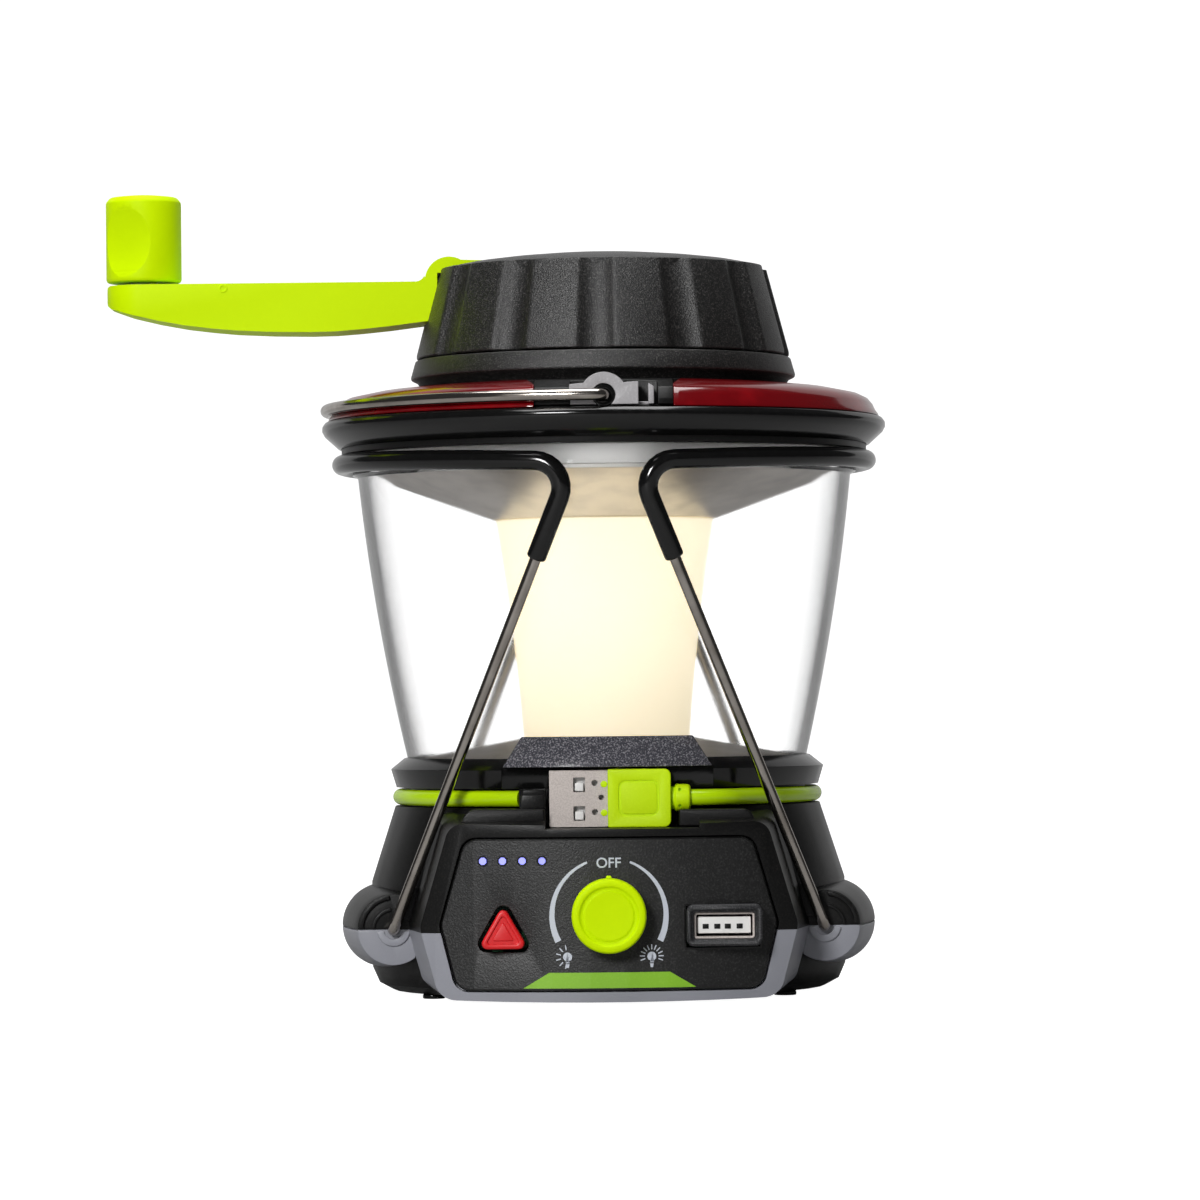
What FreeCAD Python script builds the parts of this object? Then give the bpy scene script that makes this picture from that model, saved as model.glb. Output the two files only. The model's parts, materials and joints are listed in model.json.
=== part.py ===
import FreeCAD, Part

import math
import os

import Sketcher

# Hand crank lantern, in millimetres.
# The origin is on the lamp's axis at ground level, +Z is up and the control panel faces -Y.

V = FreeCAD.Vector
doc = FreeCAD.newDocument("hand_crank_lantern")
sheet = doc.addObject("Spreadsheet::Sheet", "dims")

DIMS = {
    # base
    "foot_height": 1.0,
    "foot_radius": 2.5,
    "foot_x": 37.9,
    "foot_y": 25.0,
    "base_radius": 52.1,
    "base_edge_radius": 47.6,
    "base_edge_height": 6.0,
    "shoulder_height": 24.8,
    "waist_radius": 46.8,
    "waist_height": 41.2,
    "split_height": 15.2,
    "wall": 2.2,
    # cable groove and seat of the globe
    "groove_floor": 43.6,
    "groove_top": 45.3,
    "seat_low_radius": 46.5,
    "seat_lip_radius": 47.7,
    "seat_lip_height": 49.3,
    "seat_top_radius": 44.7,
    "seat_height": 51.7,
    "seat_gap_half": 22.6,
    # charging cable and its plug
    "cable_radius": 1.75,
    "cable_path": 45.5,
    "cable_height": 43.2,
    "cable_leave": 37.0,
    "cable_bend": 12.0,
    "gland_angle": 24.1,
    "plug_y": 44.0,
    "plug_height": 12.4,
    "plug_shell_length": 12.4,
    "plug_shell_depth": 4.5,
    "plug_grip_length": 13.3,
    "plug_grip_depth": 7.4,
    "relief_length": 3.8,
    # smoky plate above the plug
    "ramp_low": 49.9,
    "ramp_low_radius": 47.6,
    "ramp_low_half": 22.4,
    "ramp_top": 56.4,
    "ramp_top_half": 18.2,
    # console with the control panel
    "console_front": 58.5,
    "console_curve": 96.0,
    "console_grow": 5.8,
    "rim": 2.3,
    "panel_top": 35.1,
    "panel_mid": 16.8,
    "panel_bottom": 3.1,
    "panel_top_half": 30.3,
    "panel_mid_half": 35.7,
    "panel_bottom_half": 32.2,
    "panel_thickness": 2.0,
    "panel_sunk": 0.9,
    "panel_corner": 3.6,
    # controls
    "dial_radius": 7.85,
    "dial_height": 18.9,
    "dial_depth": 5.6,
    "dial_shaft": 3.0,
    "button_x": 22.3,
    "button_low": 12.3,
    "button_tip": 20.4,
    "button_half": 4.7,
    "button_corner": 1.3,
    "port_x": 24.0,
    "port_z": 16.2,
    "port_width": 13.1,
    "port_height": 5.7,
    "light_radius": 0.8,
    "light_pitch": 4.16,
    "light_height": 30.4,
    "board_y": 44.5,
    "board_thickness": 1.6,
    # leg pivots and legs
    "ear_x": 46.3,
    "ear_z": 15.2,
    "ear_face": 31.0,
    "ear_face_radius": 7.6,
    "ear_mid_x": 49.6,
    "ear_mid_radius": 8.95,
    "leg_wire": 1.25,
    "leg_sleeve": 2.1,
    "leg_plane": 34.0,
    "foot_arc": 57.9,
    "foot_arc_x": 15.2,
    "foot_arc_front": 114.7,
    "foot_arc_side": 116.3,
    "leg_bend": 5.6,
    "leg_pin_bend": 2.2,
    "sleeve_end": 94.0,
    # globe, reflectors and diffuser
    "globe_low_radius": 44.0,
    "globe_mid_radius": 50.4,
    "globe_mid_height": 84.0,
    "globe_top_radius": 54.3,
    "globe_top_height": 113.2,
    "globe_wall": 2.2,
    "globe_flange": 55.5,
    "globe_height": 118.4,
    "diffuser_low": 18.3,
    "diffuser_mid": 20.4,
    "diffuser_top": 24.0,
    "diffuser_base": 56.0,
    "diffuser_height": 103.8,
    "diffuser_wall": 1.5,
    "reflector_low_radius": 40.5,
    "reflector_top_radius": 51.4,
    "reflector_top_height": 113.4,
    # top housing
    "neck_radius": 57.9,
    "neck_height": 119.7,
    "ring_radius": 62.1,
    "ring_widest": 123.3,
    "ring_top": 126.0,
    "shoulder_low": 126.2,
    "deck_height": 132.6,
    "deck_radius": 43.2,
    "beacon_edge": 59.8,
    "beacon_side": 14.7,
    "collar_neck": 39.6,
    "collar_low": 42.65,
    "collar_top": 41.4,
    "collar_bottom": 133.8,
    "collar_height": 139.0,
    "gear_room": 37.5,
    "gear_floor": 120.6,
    # carrying bail
    "bail_height": 128.2,
    "bail_path": 61.2,
    "bail_wire": 1.25,
    "bail_bend": 2.0,
    # crank head
    "cap_bottom": 140.3,
    "cap_low": 40.85,
    "cap_top": 36.35,
    "cap_rim_height": 157.6,
    "cap_shoulder": 35.6,
    "cap_shoulder_height": 158.6,
    "crown_height": 162.5,
    "flute_count": 13.0,
    "flute_radius": 6.0,
    "flute_depth": 1.7,
    "shaft_radius": 3.0,
    "pin_radius": 1.5,
    "fit": 0.05,
    # folding arm and knob
    "hinge_x": 25.4,
    "hinge_z": 157.6,
    "arm_half": 8.2,
    "arm_top": 156.3,
    "arm_end": 109.3,
    "arm_belly": 145.7,
    "arm_play": 0.3,
    "knob_x": 101.2,
    "knob_radius": 8.3,
    "knob_bottom": 157.1,
    "knob_top": 176.3,
    # gear train
    "gear_module": 1.25,
    "wheel_teeth": 24.0,
    "pinion_teeth": 8.0,
    "gear_width": 3.0,
}

for row, (name, value) in enumerate(DIMS.items(), start=1):
    sheet.set(f"A{row}", name)
    sheet.set(f"B{row}", str(value))
    sheet.setAlias(f"B{row}", name)
doc.recompute()


class Size:
    """A measure with its value and with the text that binds a property to the sheet."""

    def __init__(self, value, text):
        self.value = value
        self.text = text

    def __add__(self, other):
        return join(self, "+", other, self.value + number(other))

    def __radd__(self, other):
        return join(other, "+", self, number(other) + self.value)

    def __sub__(self, other):
        return join(self, "-", other, self.value - number(other))

    def __rsub__(self, other):
        return join(other, "-", self, number(other) - self.value)

    def __mul__(self, other):
        return join(self, "*", other, self.value * number(other))

    def __rmul__(self, other):
        return join(other, "*", self, number(other) * self.value)

    def __truediv__(self, other):
        return join(self, "/", other, self.value / number(other))

    def __neg__(self):
        return join(-1, "*", self, -self.value)


def number(size):
    return size.value if isinstance(size, Size) else size


def text(size):
    return size.text if isinstance(size, Size) else repr(size)


def join(left, sign, right, value):
    return Size(value, f"({text(left)} {sign} {text(right)})")


class Dims:
    """Reads each alias of the sheet as a Size."""

    def __getattr__(self, alias):
        return Size(float(sheet.get(alias)), f"dims.{alias}")


d = Dims()


def bind(obj, prop, size):
    """Sets a property and ties it to the sheet where the size comes from there."""
    if isinstance(size, Size):
        obj.setExpression(prop, size.text)
    else:
        setattr(obj, prop, size)


# Sketches and bodies

TURNS = {"X": (V(0, 1, 0), 90), "Y": (V(1, 0, 0), -90), "Z": (V(0, 0, 1), 0)}


def new_body(name):
    return doc.addObject("PartDesign::Body", name)


def new_sketch(body, role, name, offset=None):
    """A sketch on one of the body's own origin planes, moved along its normal by the offset."""
    sketch = body.newObject("Sketcher::SketchObject", name)
    plane = [f for f in body.Origin.OriginFeatures if f.Role == role][0]
    sketch.AttachmentSupport = [(plane, "")]
    sketch.MapMode = "FlatFace"
    if offset is not None:
        if isinstance(offset, Size):
            sketch.setExpression("AttachmentOffset.Base.z", offset.text)
        else:
            sketch.AttachmentOffset = FreeCAD.Placement(V(0, 0, offset), FreeCAD.Rotation())
    return sketch


def arc_between(a, b, radius):
    """The flat arc from a to b, bulging to the left of the way from a to b where radius is positive."""
    chord = b - a
    half = chord.Length / 2
    side = V(-chord.y, chord.x, 0).normalize() * (1 if radius > 0 else -1)
    rise = abs(radius) - math.sqrt(radius * radius - half * half)
    return Part.Arc(a, (a + b) * 0.5 + side * rise, b)


def draw(sketch, corners):
    """Closed outline through the corners. A third entry makes the edge to the next corner an arc."""
    points = [V(number(c[0]), number(c[1]), 0) for c in corners]
    ends = []
    for i, corner in enumerate(corners):
        a, b = points[i], points[(i + 1) % len(points)]
        if len(corner) == 2:
            sketch.addGeometry(Part.LineSegment(a, b), False)
            ends.append((1, 2))
            continue
        bend = arc_between(a, b, number(corner[2]))
        shape = bend.toShape()
        circle = shape.Curve
        turns_left = number(corner[2]) < 0
        first, last = (a, b) if turns_left else (b, a)
        start = math.atan2(first.y - circle.Center.y, first.x - circle.Center.x)
        stop = math.atan2(last.y - circle.Center.y, last.x - circle.Center.x)
        round_part = Part.Circle(circle.Center, V(0, 0, 1), circle.Radius)
        sketch.addGeometry(Part.ArcOfCircle(round_part, start, stop), False)
        ends.append((1, 2) if turns_left else (2, 1))
    for i, corner in enumerate(corners):
        following = (i + 1) % len(corners)
        sketch.addConstraint(Sketcher.Constraint("Coincident", i, ends[i][1], following, ends[following][0]))
    for i, corner in enumerate(corners):
        for kind, size in (("DistanceX", corner[0]), ("DistanceY", corner[1])):
            place = sketch.addConstraint(Sketcher.Constraint(kind, -1, 1, i, ends[i][0], number(size)))
            if isinstance(size, Size):
                sketch.setExpression(f"Constraints[{place}]", size.text)
        if len(corner) == 3:
            radius = abs(number(corner[2]))
            place = sketch.addConstraint(Sketcher.Constraint("Radius", i, radius))
            if isinstance(corner[2], Size):
                sketch.setExpression(f"Constraints[{place}]", f"abs({corner[2].text})")


def padded(name, role, corners, length, offset=None, both=False):
    """Body padded from one outline on an origin plane."""
    body = new_body(name)
    sketch = new_sketch(body, role, name + "_outline", offset)
    draw(sketch, corners)
    pad = body.newObject("PartDesign::Pad", name + "_pad")
    pad.Profile = sketch
    bind(pad, "Length", length)
    pad.Midplane = both
    return body


def rounded(body, size, picks):
    """Adds a fillet on the edges of the body's tip that the test picks."""
    doc.recompute()
    tip = body.Tip
    names = [f"Edge{i}" for i, edge in enumerate(tip.Shape.Edges, start=1) if picks(edge)]
    fillet = body.newObject("PartDesign::Fillet", body.Name + "_fillet")
    fillet.Base = (tip, names)
    bind(fillet, "Radius", size)
    return body


def along(axis):
    """Test for straight edges that run along the axis."""

    def test(edge):
        if edge.Curve.TypeId != "Part::GeomLine":
            return False
        return abs(abs(edge.Curve.Direction.dot(axis)) - 1) < 1e-6

    return test


# Part primitives and booleans


def place(obj, x, y, z, turn=None):
    if turn:
        obj.Placement = FreeCAD.Placement(V(), FreeCAD.Rotation(*turn))
    for letter, size in zip("xyz", (x, y, z)):
        if isinstance(size, Size):
            obj.setExpression(f"Placement.Base.{letter}", size.text)
        else:
            spot = obj.Placement
            setattr(spot.Base, letter, size)
            obj.Placement = spot
    return obj


def cylinder(name, radius, length, x, y, z, axis="Z"):
    obj = doc.addObject("Part::Cylinder", name)
    bind(obj, "Radius", radius)
    bind(obj, "Height", length)
    return place(obj, x, y, z, TURNS[axis])


def block(name, size_x, size_y, size_z, x, y, z):
    """A box from its lowest corner."""
    obj = doc.addObject("Part::Box", name)
    bind(obj, "Length", size_x)
    bind(obj, "Width", size_y)
    bind(obj, "Height", size_z)
    return place(obj, x, y, z)


def prism(name, sides, radius, length, x, y, z):
    """Upright prism with a regular outline."""
    obj = doc.addObject("Part::Prism", name)
    obj.Polygon = sides
    bind(obj, "Circumradius", radius)
    bind(obj, "Height", length)
    return place(obj, x, y, z, (V(0, 0, 1), 180 / sides))


def fuse(name, *shapes):
    obj = doc.addObject("Part::MultiFuse", name)
    obj.Shapes = list(shapes)
    return obj


def common(name, *shapes):
    obj = doc.addObject("Part::MultiCommon", name)
    obj.Shapes = list(shapes)
    return obj


def cut(name, base, *tools):
    """The base less the tools, fused first where there are several."""
    tool = tools[0] if len(tools) == 1 else fuse(name + "_tools", *tools)
    obj = doc.addObject("Part::Cut", name)
    obj.Base = base
    obj.Tool = tool
    return obj


NODES = {}


def node(name, obj):
    """Names the finished sub-part."""
    obj.Label = name
    NODES[name] = obj
    return obj


def feature(name, shape):
    """A sub-part whose shape is worked out from the sheet's sizes."""
    obj = doc.addObject("Part::Feature", name)
    obj.Shape = shape
    return obj


def compound(name, shapes):
    obj = doc.addObject("Part::Compound", name)
    obj.Links = shapes
    return obj


# Solids with flat sides, for round forms that a smooth face would fill with triangles

ROUND_SIDES = 36
AXES = {"X": (V(0, 1, 0), V(0, 0, 1)), "Y": (V(0, 0, 1), V(1, 0, 0)), "Z": (V(1, 0, 0), V(0, 1, 0))}


def flat_sided(rings):
    """Solid with flat faces between rings of corners whose matching edges are parallel."""
    faces = [Part.Face(Part.makePolygon(ring + ring[:1])) for ring in (rings[0], rings[-1])]
    for low, high in zip(rings, rings[1:]):
        for i in range(len(low)):
            j = (i + 1) % len(low)
            faces.append(Part.Face(Part.makePolygon([low[i], low[j], high[j], high[i], low[i]])))
    solid = Part.Solid(Part.Shell(faces))
    if solid.Volume < 0:
        solid.reverse()
    return solid


def many_sided(name, sides, sections, axis="Z"):
    """Round part through sections given as (radius, x, y, z) along the axis."""
    across, up = AXES[axis]
    rings = []
    for section in sections:
        radius, *centre = map(number, section)
        ring = []
        for i in range(sides):
            turn = 2 * math.pi * (i + 0.5) / sides
            ring.append(V(*centre) + (across * math.cos(turn) + up * math.sin(turn)) * radius)
        rings.append(ring)
    return feature(name, flat_sided(rings))


def ringed(name, outline, sides=ROUND_SIDES):
    """Round solid about the lamp's axis, through (radius, height) pairs from the bottom up."""
    return many_sided(name, sides, [(radius, 0, 0, height) for radius, height in outline])


def tube(edges, radius, sides):
    """Bar of flat sides along straight edges and arcs, which are taken in steps of about ten degrees."""
    points = [edges[0].valueAt(edges[0].FirstParameter)]
    for edge in edges:
        steps = 1
        if edge.Curve.TypeId == "Part::GeomCircle":
            steps = max(3, round(math.degrees(edge.Length / edge.Curve.Radius) / 10))
        points += edge.discretize(Number=steps + 1)[1:]
    runs = [(b - a).normalize() for a, b in zip(points, points[1:])]
    across = runs[0].cross(V(0, 0, 1))
    if across.Length < 0.1:
        across = runs[0].cross(V(0, 1, 0))
    across.normalize()
    up = runs[0].cross(across)
    ring = []
    for i in range(sides):
        turn = 2 * math.pi * (i + 0.5) / sides
        ring.append(points[0] + (across * math.cos(turn) + up * math.sin(turn)) * radius)
    rings = [ring]
    for i, point in enumerate(points[1:]):
        facing = runs[i] + runs[min(i + 1, len(runs) - 1)]
        reach = runs[i].dot(facing)
        ring = [corner + runs[i] * ((point - corner).dot(facing) / reach) for corner in ring]
        rings.append(ring)
    return flat_sided(rings)


# Base: upper shell, grey bumper, console and leg ears


def console_outline(half_top, top, half_mid, mid, half_low, low):
    """The console's six corners in the XZ plane, from the top left, anticlockwise seen from the front."""
    return [
        (-half_top, top),
        (-half_mid, mid),
        (-half_low, low),
        (half_low, low),
        (half_mid, mid),
        (half_top, top),
    ]


def console_block():
    """Console block of flat faces that widens towards the base, its long corners rounded."""
    front_mid, front_top, front_low = map(number, (d.panel_mid, d.panel_top + 2.5, d.panel_bottom - 2.6))
    half_mid, half_top, half_low = map(
        number, (d.panel_mid_half + 2.5, d.panel_top_half + d.rim - 0.2, d.panel_bottom_half + 2.0)
    )
    grow = number(d.console_grow)
    back_mid, back_top = map(number, (d.split_height + 0.3, d.waist_height - 0.2))
    back_low = front_low + 2.6
    back_half_top = half_mid + grow - (back_top - back_mid) * (half_mid - half_top) / (front_top - front_mid)
    back_half_low = half_mid + grow - (back_mid - back_low) * (half_mid - half_low) / (front_mid - front_low)
    front = console_outline(half_top, front_top, half_mid, front_mid, half_low, front_low)
    back = console_outline(back_half_top, back_top, half_mid + grow, back_mid, back_half_low, back_low)
    front_y, back_y = -number(d.console_front) - 2, -26
    solid = flat_sided([[V(x, front_y, z) for x, z in front], [V(x, back_y, z) for x, z in back]])
    corners = [edge for edge in solid.Edges if edge.BoundBox.YLength > 20]
    return feature("console_block", solid.makeFillet(4.0, corners))


def curved_front(name, sunk, low, high):
    """Upright drum whose front side is the console's gentle curve, moved back by sunk."""
    radius = d.console_curve - sunk
    middle = d.console_curve - d.console_front
    return many_sided(name, 72, [(radius, 0, middle, low), (radius, 0, middle, high)])


def ear(name, side):
    """Barrel that holds one leg, along Y, flat at both ends and fuller in the middle."""
    sections = []
    for share in (-1, -0.5, 0.5, 1):
        fullness = 1 - share * share
        radius = d.ear_face_radius + (d.ear_mid_radius - d.ear_face_radius) * fullness
        x = side * (d.ear_x + (d.ear_mid_x - d.ear_x) * fullness)
        sections.append((radius, x, d.ear_face * share, d.ear_z))
    return many_sided(name, 12, sections, "Y")


def cable_groove():
    """Ring cut out above the waist, less the block that the cable comes out of."""
    reach = d.waist_radius + 5
    outer = ringed("groove_outer", [(reach, d.waist_height), (reach, d.groove_top + 1)])
    floor = d.groove_floor
    inner = ringed("groove_inner", [(floor, d.waist_height - 1), (floor, d.groove_top + 2)])
    turn = math.radians(0.3 - 90 - number(d.gland_angle))
    radii = (number(d.groove_floor) - 2, number(d.waist_radius) + 6)
    near, far = [(radius * math.cos(turn), radius * math.sin(turn)) for radius in radii]
    side = -(d.plug_shell_length + 0.9)
    corners = [near, far, (side, far[1]), (side, near[1])]
    gland = padded("gland_block", "XY_Plane", corners, 8, offset=d.waist_height - 1)
    return cut("groove_tool", outer, inner, gland)


def panel_outline(grow, low):
    """The panel's outline, larger by grow, with its foot raised by low."""
    return console_outline(
        d.panel_top_half + grow,
        d.panel_top + grow,
        d.panel_mid_half + grow,
        d.panel_mid,
        d.panel_bottom_half + grow,
        d.panel_bottom + low,
    )


def leg_bores():
    """Bores of the four ends of the leg wires in the ears."""
    bores = []
    radius = d.leg_wire + d.fit
    for side in (-1, 1):
        for low in (-d.ear_face - 1, d.ear_face - 9):
            name = f"leg_bore_{len(bores) + 1}"
            bores.append(cylinder(name, radius, 10, side * d.ear_x, low, d.ear_z, "Y"))
    return bores


def build_base():
    console = console_block()
    front = common("console_shape", console, curved_front("console_curve_tool", 0, -1, 60))
    ears = [ear("ear_left", -1), ear("ear_right", 1)]
    upper = ringed(
        "upper_body",
        [
            (d.base_radius, d.split_height),
            (d.base_radius, d.shoulder_height),
            (d.waist_radius, d.waist_height),
            (d.waist_radius, d.groove_top),
        ],
    )
    lower = ringed(
        "lower_body",
        [
            (d.base_edge_radius, d.foot_height),
            (d.base_radius - 1.5, d.foot_height + 1.6),
            (d.base_radius, d.base_edge_height),
            (d.base_radius, d.split_height),
        ],
    )
    above = block("above_split", 140, 140, 60, -70, -70, d.split_height)
    below = block("below_split", 140, 140, d.split_height + 5, -70, -70, -5)

    # pocket that the plug lies in
    pocket_left = d.plug_shell_length + 0.9
    pocket_length = pocket_left + d.plug_grip_length + d.relief_length + 2.2
    back = -(d.plug_y - d.plug_grip_depth / 2)
    floor = d.cable_height - d.plug_height / 2
    pocket = block("plug_pocket", pocket_length, 30, 14, -pocket_left, back - 30, floor)

    # recess for the panel, and the rooms behind it and inside the base
    recess = padded("panel_recess", "XZ_Plane", panel_outline(0.3, -0.3), 20, offset=48)
    recess = rounded(recess, d.panel_corner, along(V(0, 1, 0)))
    behind = curved_front("recess_floor", d.panel_sunk + d.panel_thickness, -5, 60)
    recess = cut("panel_recess_tool", recess, behind)
    room = padded("console_room", "XZ_Plane", panel_outline(-2.0, 2.0), 40, offset=20)
    inside = prism("base_room", 8, 41.0, d.groove_top - d.wall - 3.2, 0, 0, 3.2)
    bores = leg_bores()

    whole = fuse("upper_block", upper, front, *ears)
    shell = common("upper_solid", whole, above)
    node("base_shell", cut("base_shell_shape", shell, cable_groove(), pocket, recess, room, inside, *bores))
    whole = fuse("lower_block", lower, front, *ears)
    bumper = common("lower_solid", whole, below)
    node("base_bumper", cut("base_bumper_shape", bumper, recess, room, inside, *bores))


def build_feet():
    feet = []
    for x in (-d.foot_x, d.foot_x):
        for y in (-d.foot_y, d.foot_y):
            feet.append(prism(f"foot_{len(feet) + 1}", 12, d.foot_radius, d.foot_height, x, y, 0))
    node("rubber_feet", compound("feet", feet))


# Seat, globe and light parts


def build_globe():
    outline = [
        (d.seat_low_radius, d.groove_top),
        (d.seat_lip_radius, d.seat_lip_height),
        (d.seat_top_radius, d.seat_height),
    ]
    seat = ringed("seat_ring", outline)
    gap_front = -(d.plug_y - d.plug_grip_depth / 2) - 30
    front_gap = block("seat_gap", d.seat_gap_half * 2, 30, 10, -d.seat_gap_half, gap_front, d.groove_top - 1)
    node("globe_seat", cut("globe_seat_shape", seat, front_gap))

    outline = [
        (d.globe_low_radius, d.seat_height),
        (d.globe_mid_radius, d.globe_mid_height),
        (d.globe_top_radius, d.globe_top_height),
        (d.globe_flange, d.globe_top_height + 0.7),
        (d.globe_flange, d.globe_height),
    ]
    hollow = [
        (d.globe_low_radius - d.globe_wall, d.seat_height),
        (d.globe_mid_radius - d.globe_wall, d.globe_mid_height),
        (d.globe_top_radius - d.globe_wall, d.globe_top_height),
        (d.globe_flange - d.globe_wall, d.globe_height),
    ]
    globe = ringed("globe_outer", outline)
    node("lens_globe", cut("lens_globe_shape", globe, ringed("globe_inner", hollow)))

    bottom, top = d.diffuser_base, d.diffuser_height
    middle = (bottom + top) / 2
    walls = []
    for word, thickness in (("outer", 0), ("inner", d.diffuser_wall)):
        outline = [
            (d.diffuser_low - thickness, bottom),
            (d.diffuser_mid - thickness, middle),
            (d.diffuser_top - thickness, top),
        ]
        walls.append(ringed("diffuser_" + word, outline, 24))
    node("diffuser", cut("diffuser_shape", *walls))
    cone = [(d.reflector_low_radius, d.seat_height), (d.diffuser_low + 0.4, bottom)]
    node("lower_reflector", ringed("lower_cone", cone, 40))
    cone = [
        (d.diffuser_top + 0.5, top),
        (d.reflector_top_radius, d.reflector_top_height),
        (d.reflector_top_radius, d.globe_height),
    ]
    node("upper_reflector", ringed("upper_cone", cone, 40))


def build_lights():
    column_radius, board_radius, chip_place = 3.5, 14.0, 8.5
    bottom, top = d.diffuser_base, d.diffuser_height
    node("light_column", prism("column", 6, column_radius, top - bottom, 0, 0, bottom))
    for name, z in (("lower_light_board", bottom + 0.1), ("upper_light_board", top - 1.7)):
        plate = prism(name + "_plate", 6, board_radius, d.board_thickness, 0, 0, z)
        hole = prism(name + "_hole", 6, column_radius, 4, 0, 0, z - 1)
        node(name, cut(name + "_shape", plate, hole))
    chips = []
    for level, z in ((1, bottom + 1.7), (2, top - 2.5)):
        for i in range(3):
            turn = math.radians(90 + 120 * i)
            x, y = chip_place * math.cos(turn), chip_place * math.sin(turn)
            chips.append(block(f"chip_{level}_{i}", 3.5, 3.5, 0.8, x - 1.75, y - 1.75, z))
    node("light_chips", compound("chips", chips))


def build_ramp():
    """Smoky plate that leans against the foot of the globe above the plug."""
    outline = [(d.ramp_low_radius + 0.9, d.ramp_low), (d.globe_low_radius + 1.5, d.ramp_top)]
    outer = ringed("ramp_outer", outline)
    rise = (d.ramp_top - d.seat_height) / (d.globe_mid_height - d.seat_height)
    lens_at_top = d.globe_low_radius + (d.globe_mid_radius - d.globe_low_radius) * rise
    outline = [
        (d.ramp_low_radius, d.ramp_low - 0.01),
        (d.seat_top_radius + 0.02, d.seat_height),
        (d.globe_low_radius + 0.02, d.seat_height),
        (lens_at_top + 0.02, d.ramp_top + 0.01),
    ]
    inner = ringed("ramp_inner", outline)
    front = padded(
        "ramp_front",
        "XZ_Plane",
        [
            (-d.ramp_low_half, d.ramp_low - 0.1),
            (d.ramp_low_half, d.ramp_low - 0.1),
            (d.ramp_top_half, d.ramp_top + 0.1),
            (-d.ramp_top_half, d.ramp_top + 0.1),
        ],
        20,
        offset=35,
    )
    node("ramp_plate", common("ramp_plate_shape", cut("ramp_band", outer, inner), front))


# Controls on the console


def trimmed(name, shape, sunk):
    """Cuts a panel part's front to the console's curve."""
    return common(name, shape, curved_front(name + "_curve", sunk, -1, 60))


def triangle(grow):
    """Corners of the triangular button, grown outwards by grow."""
    half = d.button_half + grow * 1.7
    return [
        (-d.button_x - half, d.button_low - grow),
        (-d.button_x + half, d.button_low - grow),
        (-d.button_x, d.button_tip + grow * 2),
    ]


def port_block(name, grow_x, grow_z, front, length):
    """Box round the charging socket's middle line, from front backwards."""
    width, height = d.port_width + grow_x, d.port_height + grow_z
    return block(name, width, length, height, d.port_x - width / 2, front, d.port_z - height / 2)


def build_panel():
    panel = padded("panel_pad", "XZ_Plane", panel_outline(0, 0), 14, offset=47)
    panel = rounded(panel, d.panel_corner, along(V(0, 1, 0)))
    panel = trimmed("panel_front", panel, d.panel_sunk)
    panel = cut("panel_skin", panel, curved_front("panel_back", d.panel_sunk + d.panel_thickness, -2, 60))
    hole_radius = d.dial_shaft + 0.5
    shaft_hole = many_sided(
        "dial_hole", 12, [(hole_radius, 0, -65, d.dial_height), (hole_radius, 0, -45, d.dial_height)], "Y"
    )
    button_hole = padded("button_hole", "XZ_Plane", triangle(0.3), 20, offset=45)
    button_hole = rounded(button_hole, d.button_corner + 0.3, along(V(0, 1, 0)))
    port_hole = port_block("port_hole", 2.5, 3.0, -65, 20)
    light_holes = []
    lights = []
    for i in range(4):
        x = d.light_pitch * (i - 3) - 14.0
        ends = [(d.light_radius, x, y, d.light_height) for y in (-60, -45)]
        light_holes.append(many_sided(f"light_hole_{i + 1}", 8, ends, "Y"))
        front = -(d.console_front - 2.55 - 0.35 * (3 - i))
        ends = [(d.light_radius, x, y, d.light_height) for y in (front, front + 3)]
        lights.append(many_sided(f"light_rod_{i + 1}", 8, ends, "Y"))
    node("front_panel", cut("front_panel_shape", panel, shaft_hole, button_hole, port_hole, *light_holes))
    node("level_lights", compound("lights", lights))


def build_selector():
    """Dial with its raised rim and pointer, on a shaft that turns in the switch."""
    back = -(d.console_front - d.panel_sunk + 0.5)
    front = back - d.dial_depth
    rim, dish = d.dial_radius - 1.8, d.dial_radius - 2.4
    outline = [
        (dish, front + 0.4),
        (rim, front),
        (d.dial_radius - 0.6, front),
        (d.dial_radius, front + 0.6),
        (d.dial_radius, back),
    ]
    disc = many_sided("dial_disc", 32, [(radius, 0, y, d.dial_height) for radius, y in outline], "Y")
    tick = block("dial_tick", 1.0, 1.2, 1.2, -0.5, back - 1.4, d.dial_height + d.dial_radius - 0.5)
    node("selector_dial", fuse("dial_shape", disc, tick))
    node("selector_shaft", cylinder("dial_shaft_rod", d.dial_shaft, 11, 0, back, d.dial_height, "Y"))
    switch = block("switch_case", 13, 7, 13, -6.5, -d.board_y - 7, d.dial_height - 6.5)
    bore = cylinder("switch_bore", d.dial_shaft + d.fit, 6, 0, -52, d.dial_height, "Y")
    node("selector_switch", cut("selector_switch_shape", switch, bore))


def build_button():
    """Triangular push button with its hidden flange, over a small switch."""
    face = padded("button_pad", "XZ_Plane", triangle(0), 8, offset=51)
    face = trimmed("button_face", rounded(face, d.button_corner, along(V(0, 1, 0))), d.panel_sunk - 0.7)
    flange = padded("button_flange", "XZ_Plane", triangle(0.9), 1.0, offset=50.2)
    stem = block("button_stem", 2.4, 1.6, 2.4, -d.button_x - 1.2, -50.4, d.button_low + 1.7)
    node("beacon_button", fuse("beacon_button_shape", face, flange, stem))
    switch = block("button_switch_case", 6, 2.9, 6, -d.button_x - 3, -d.board_y - 2.9, d.button_low - 0.1)
    node("button_switch", switch)


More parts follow.
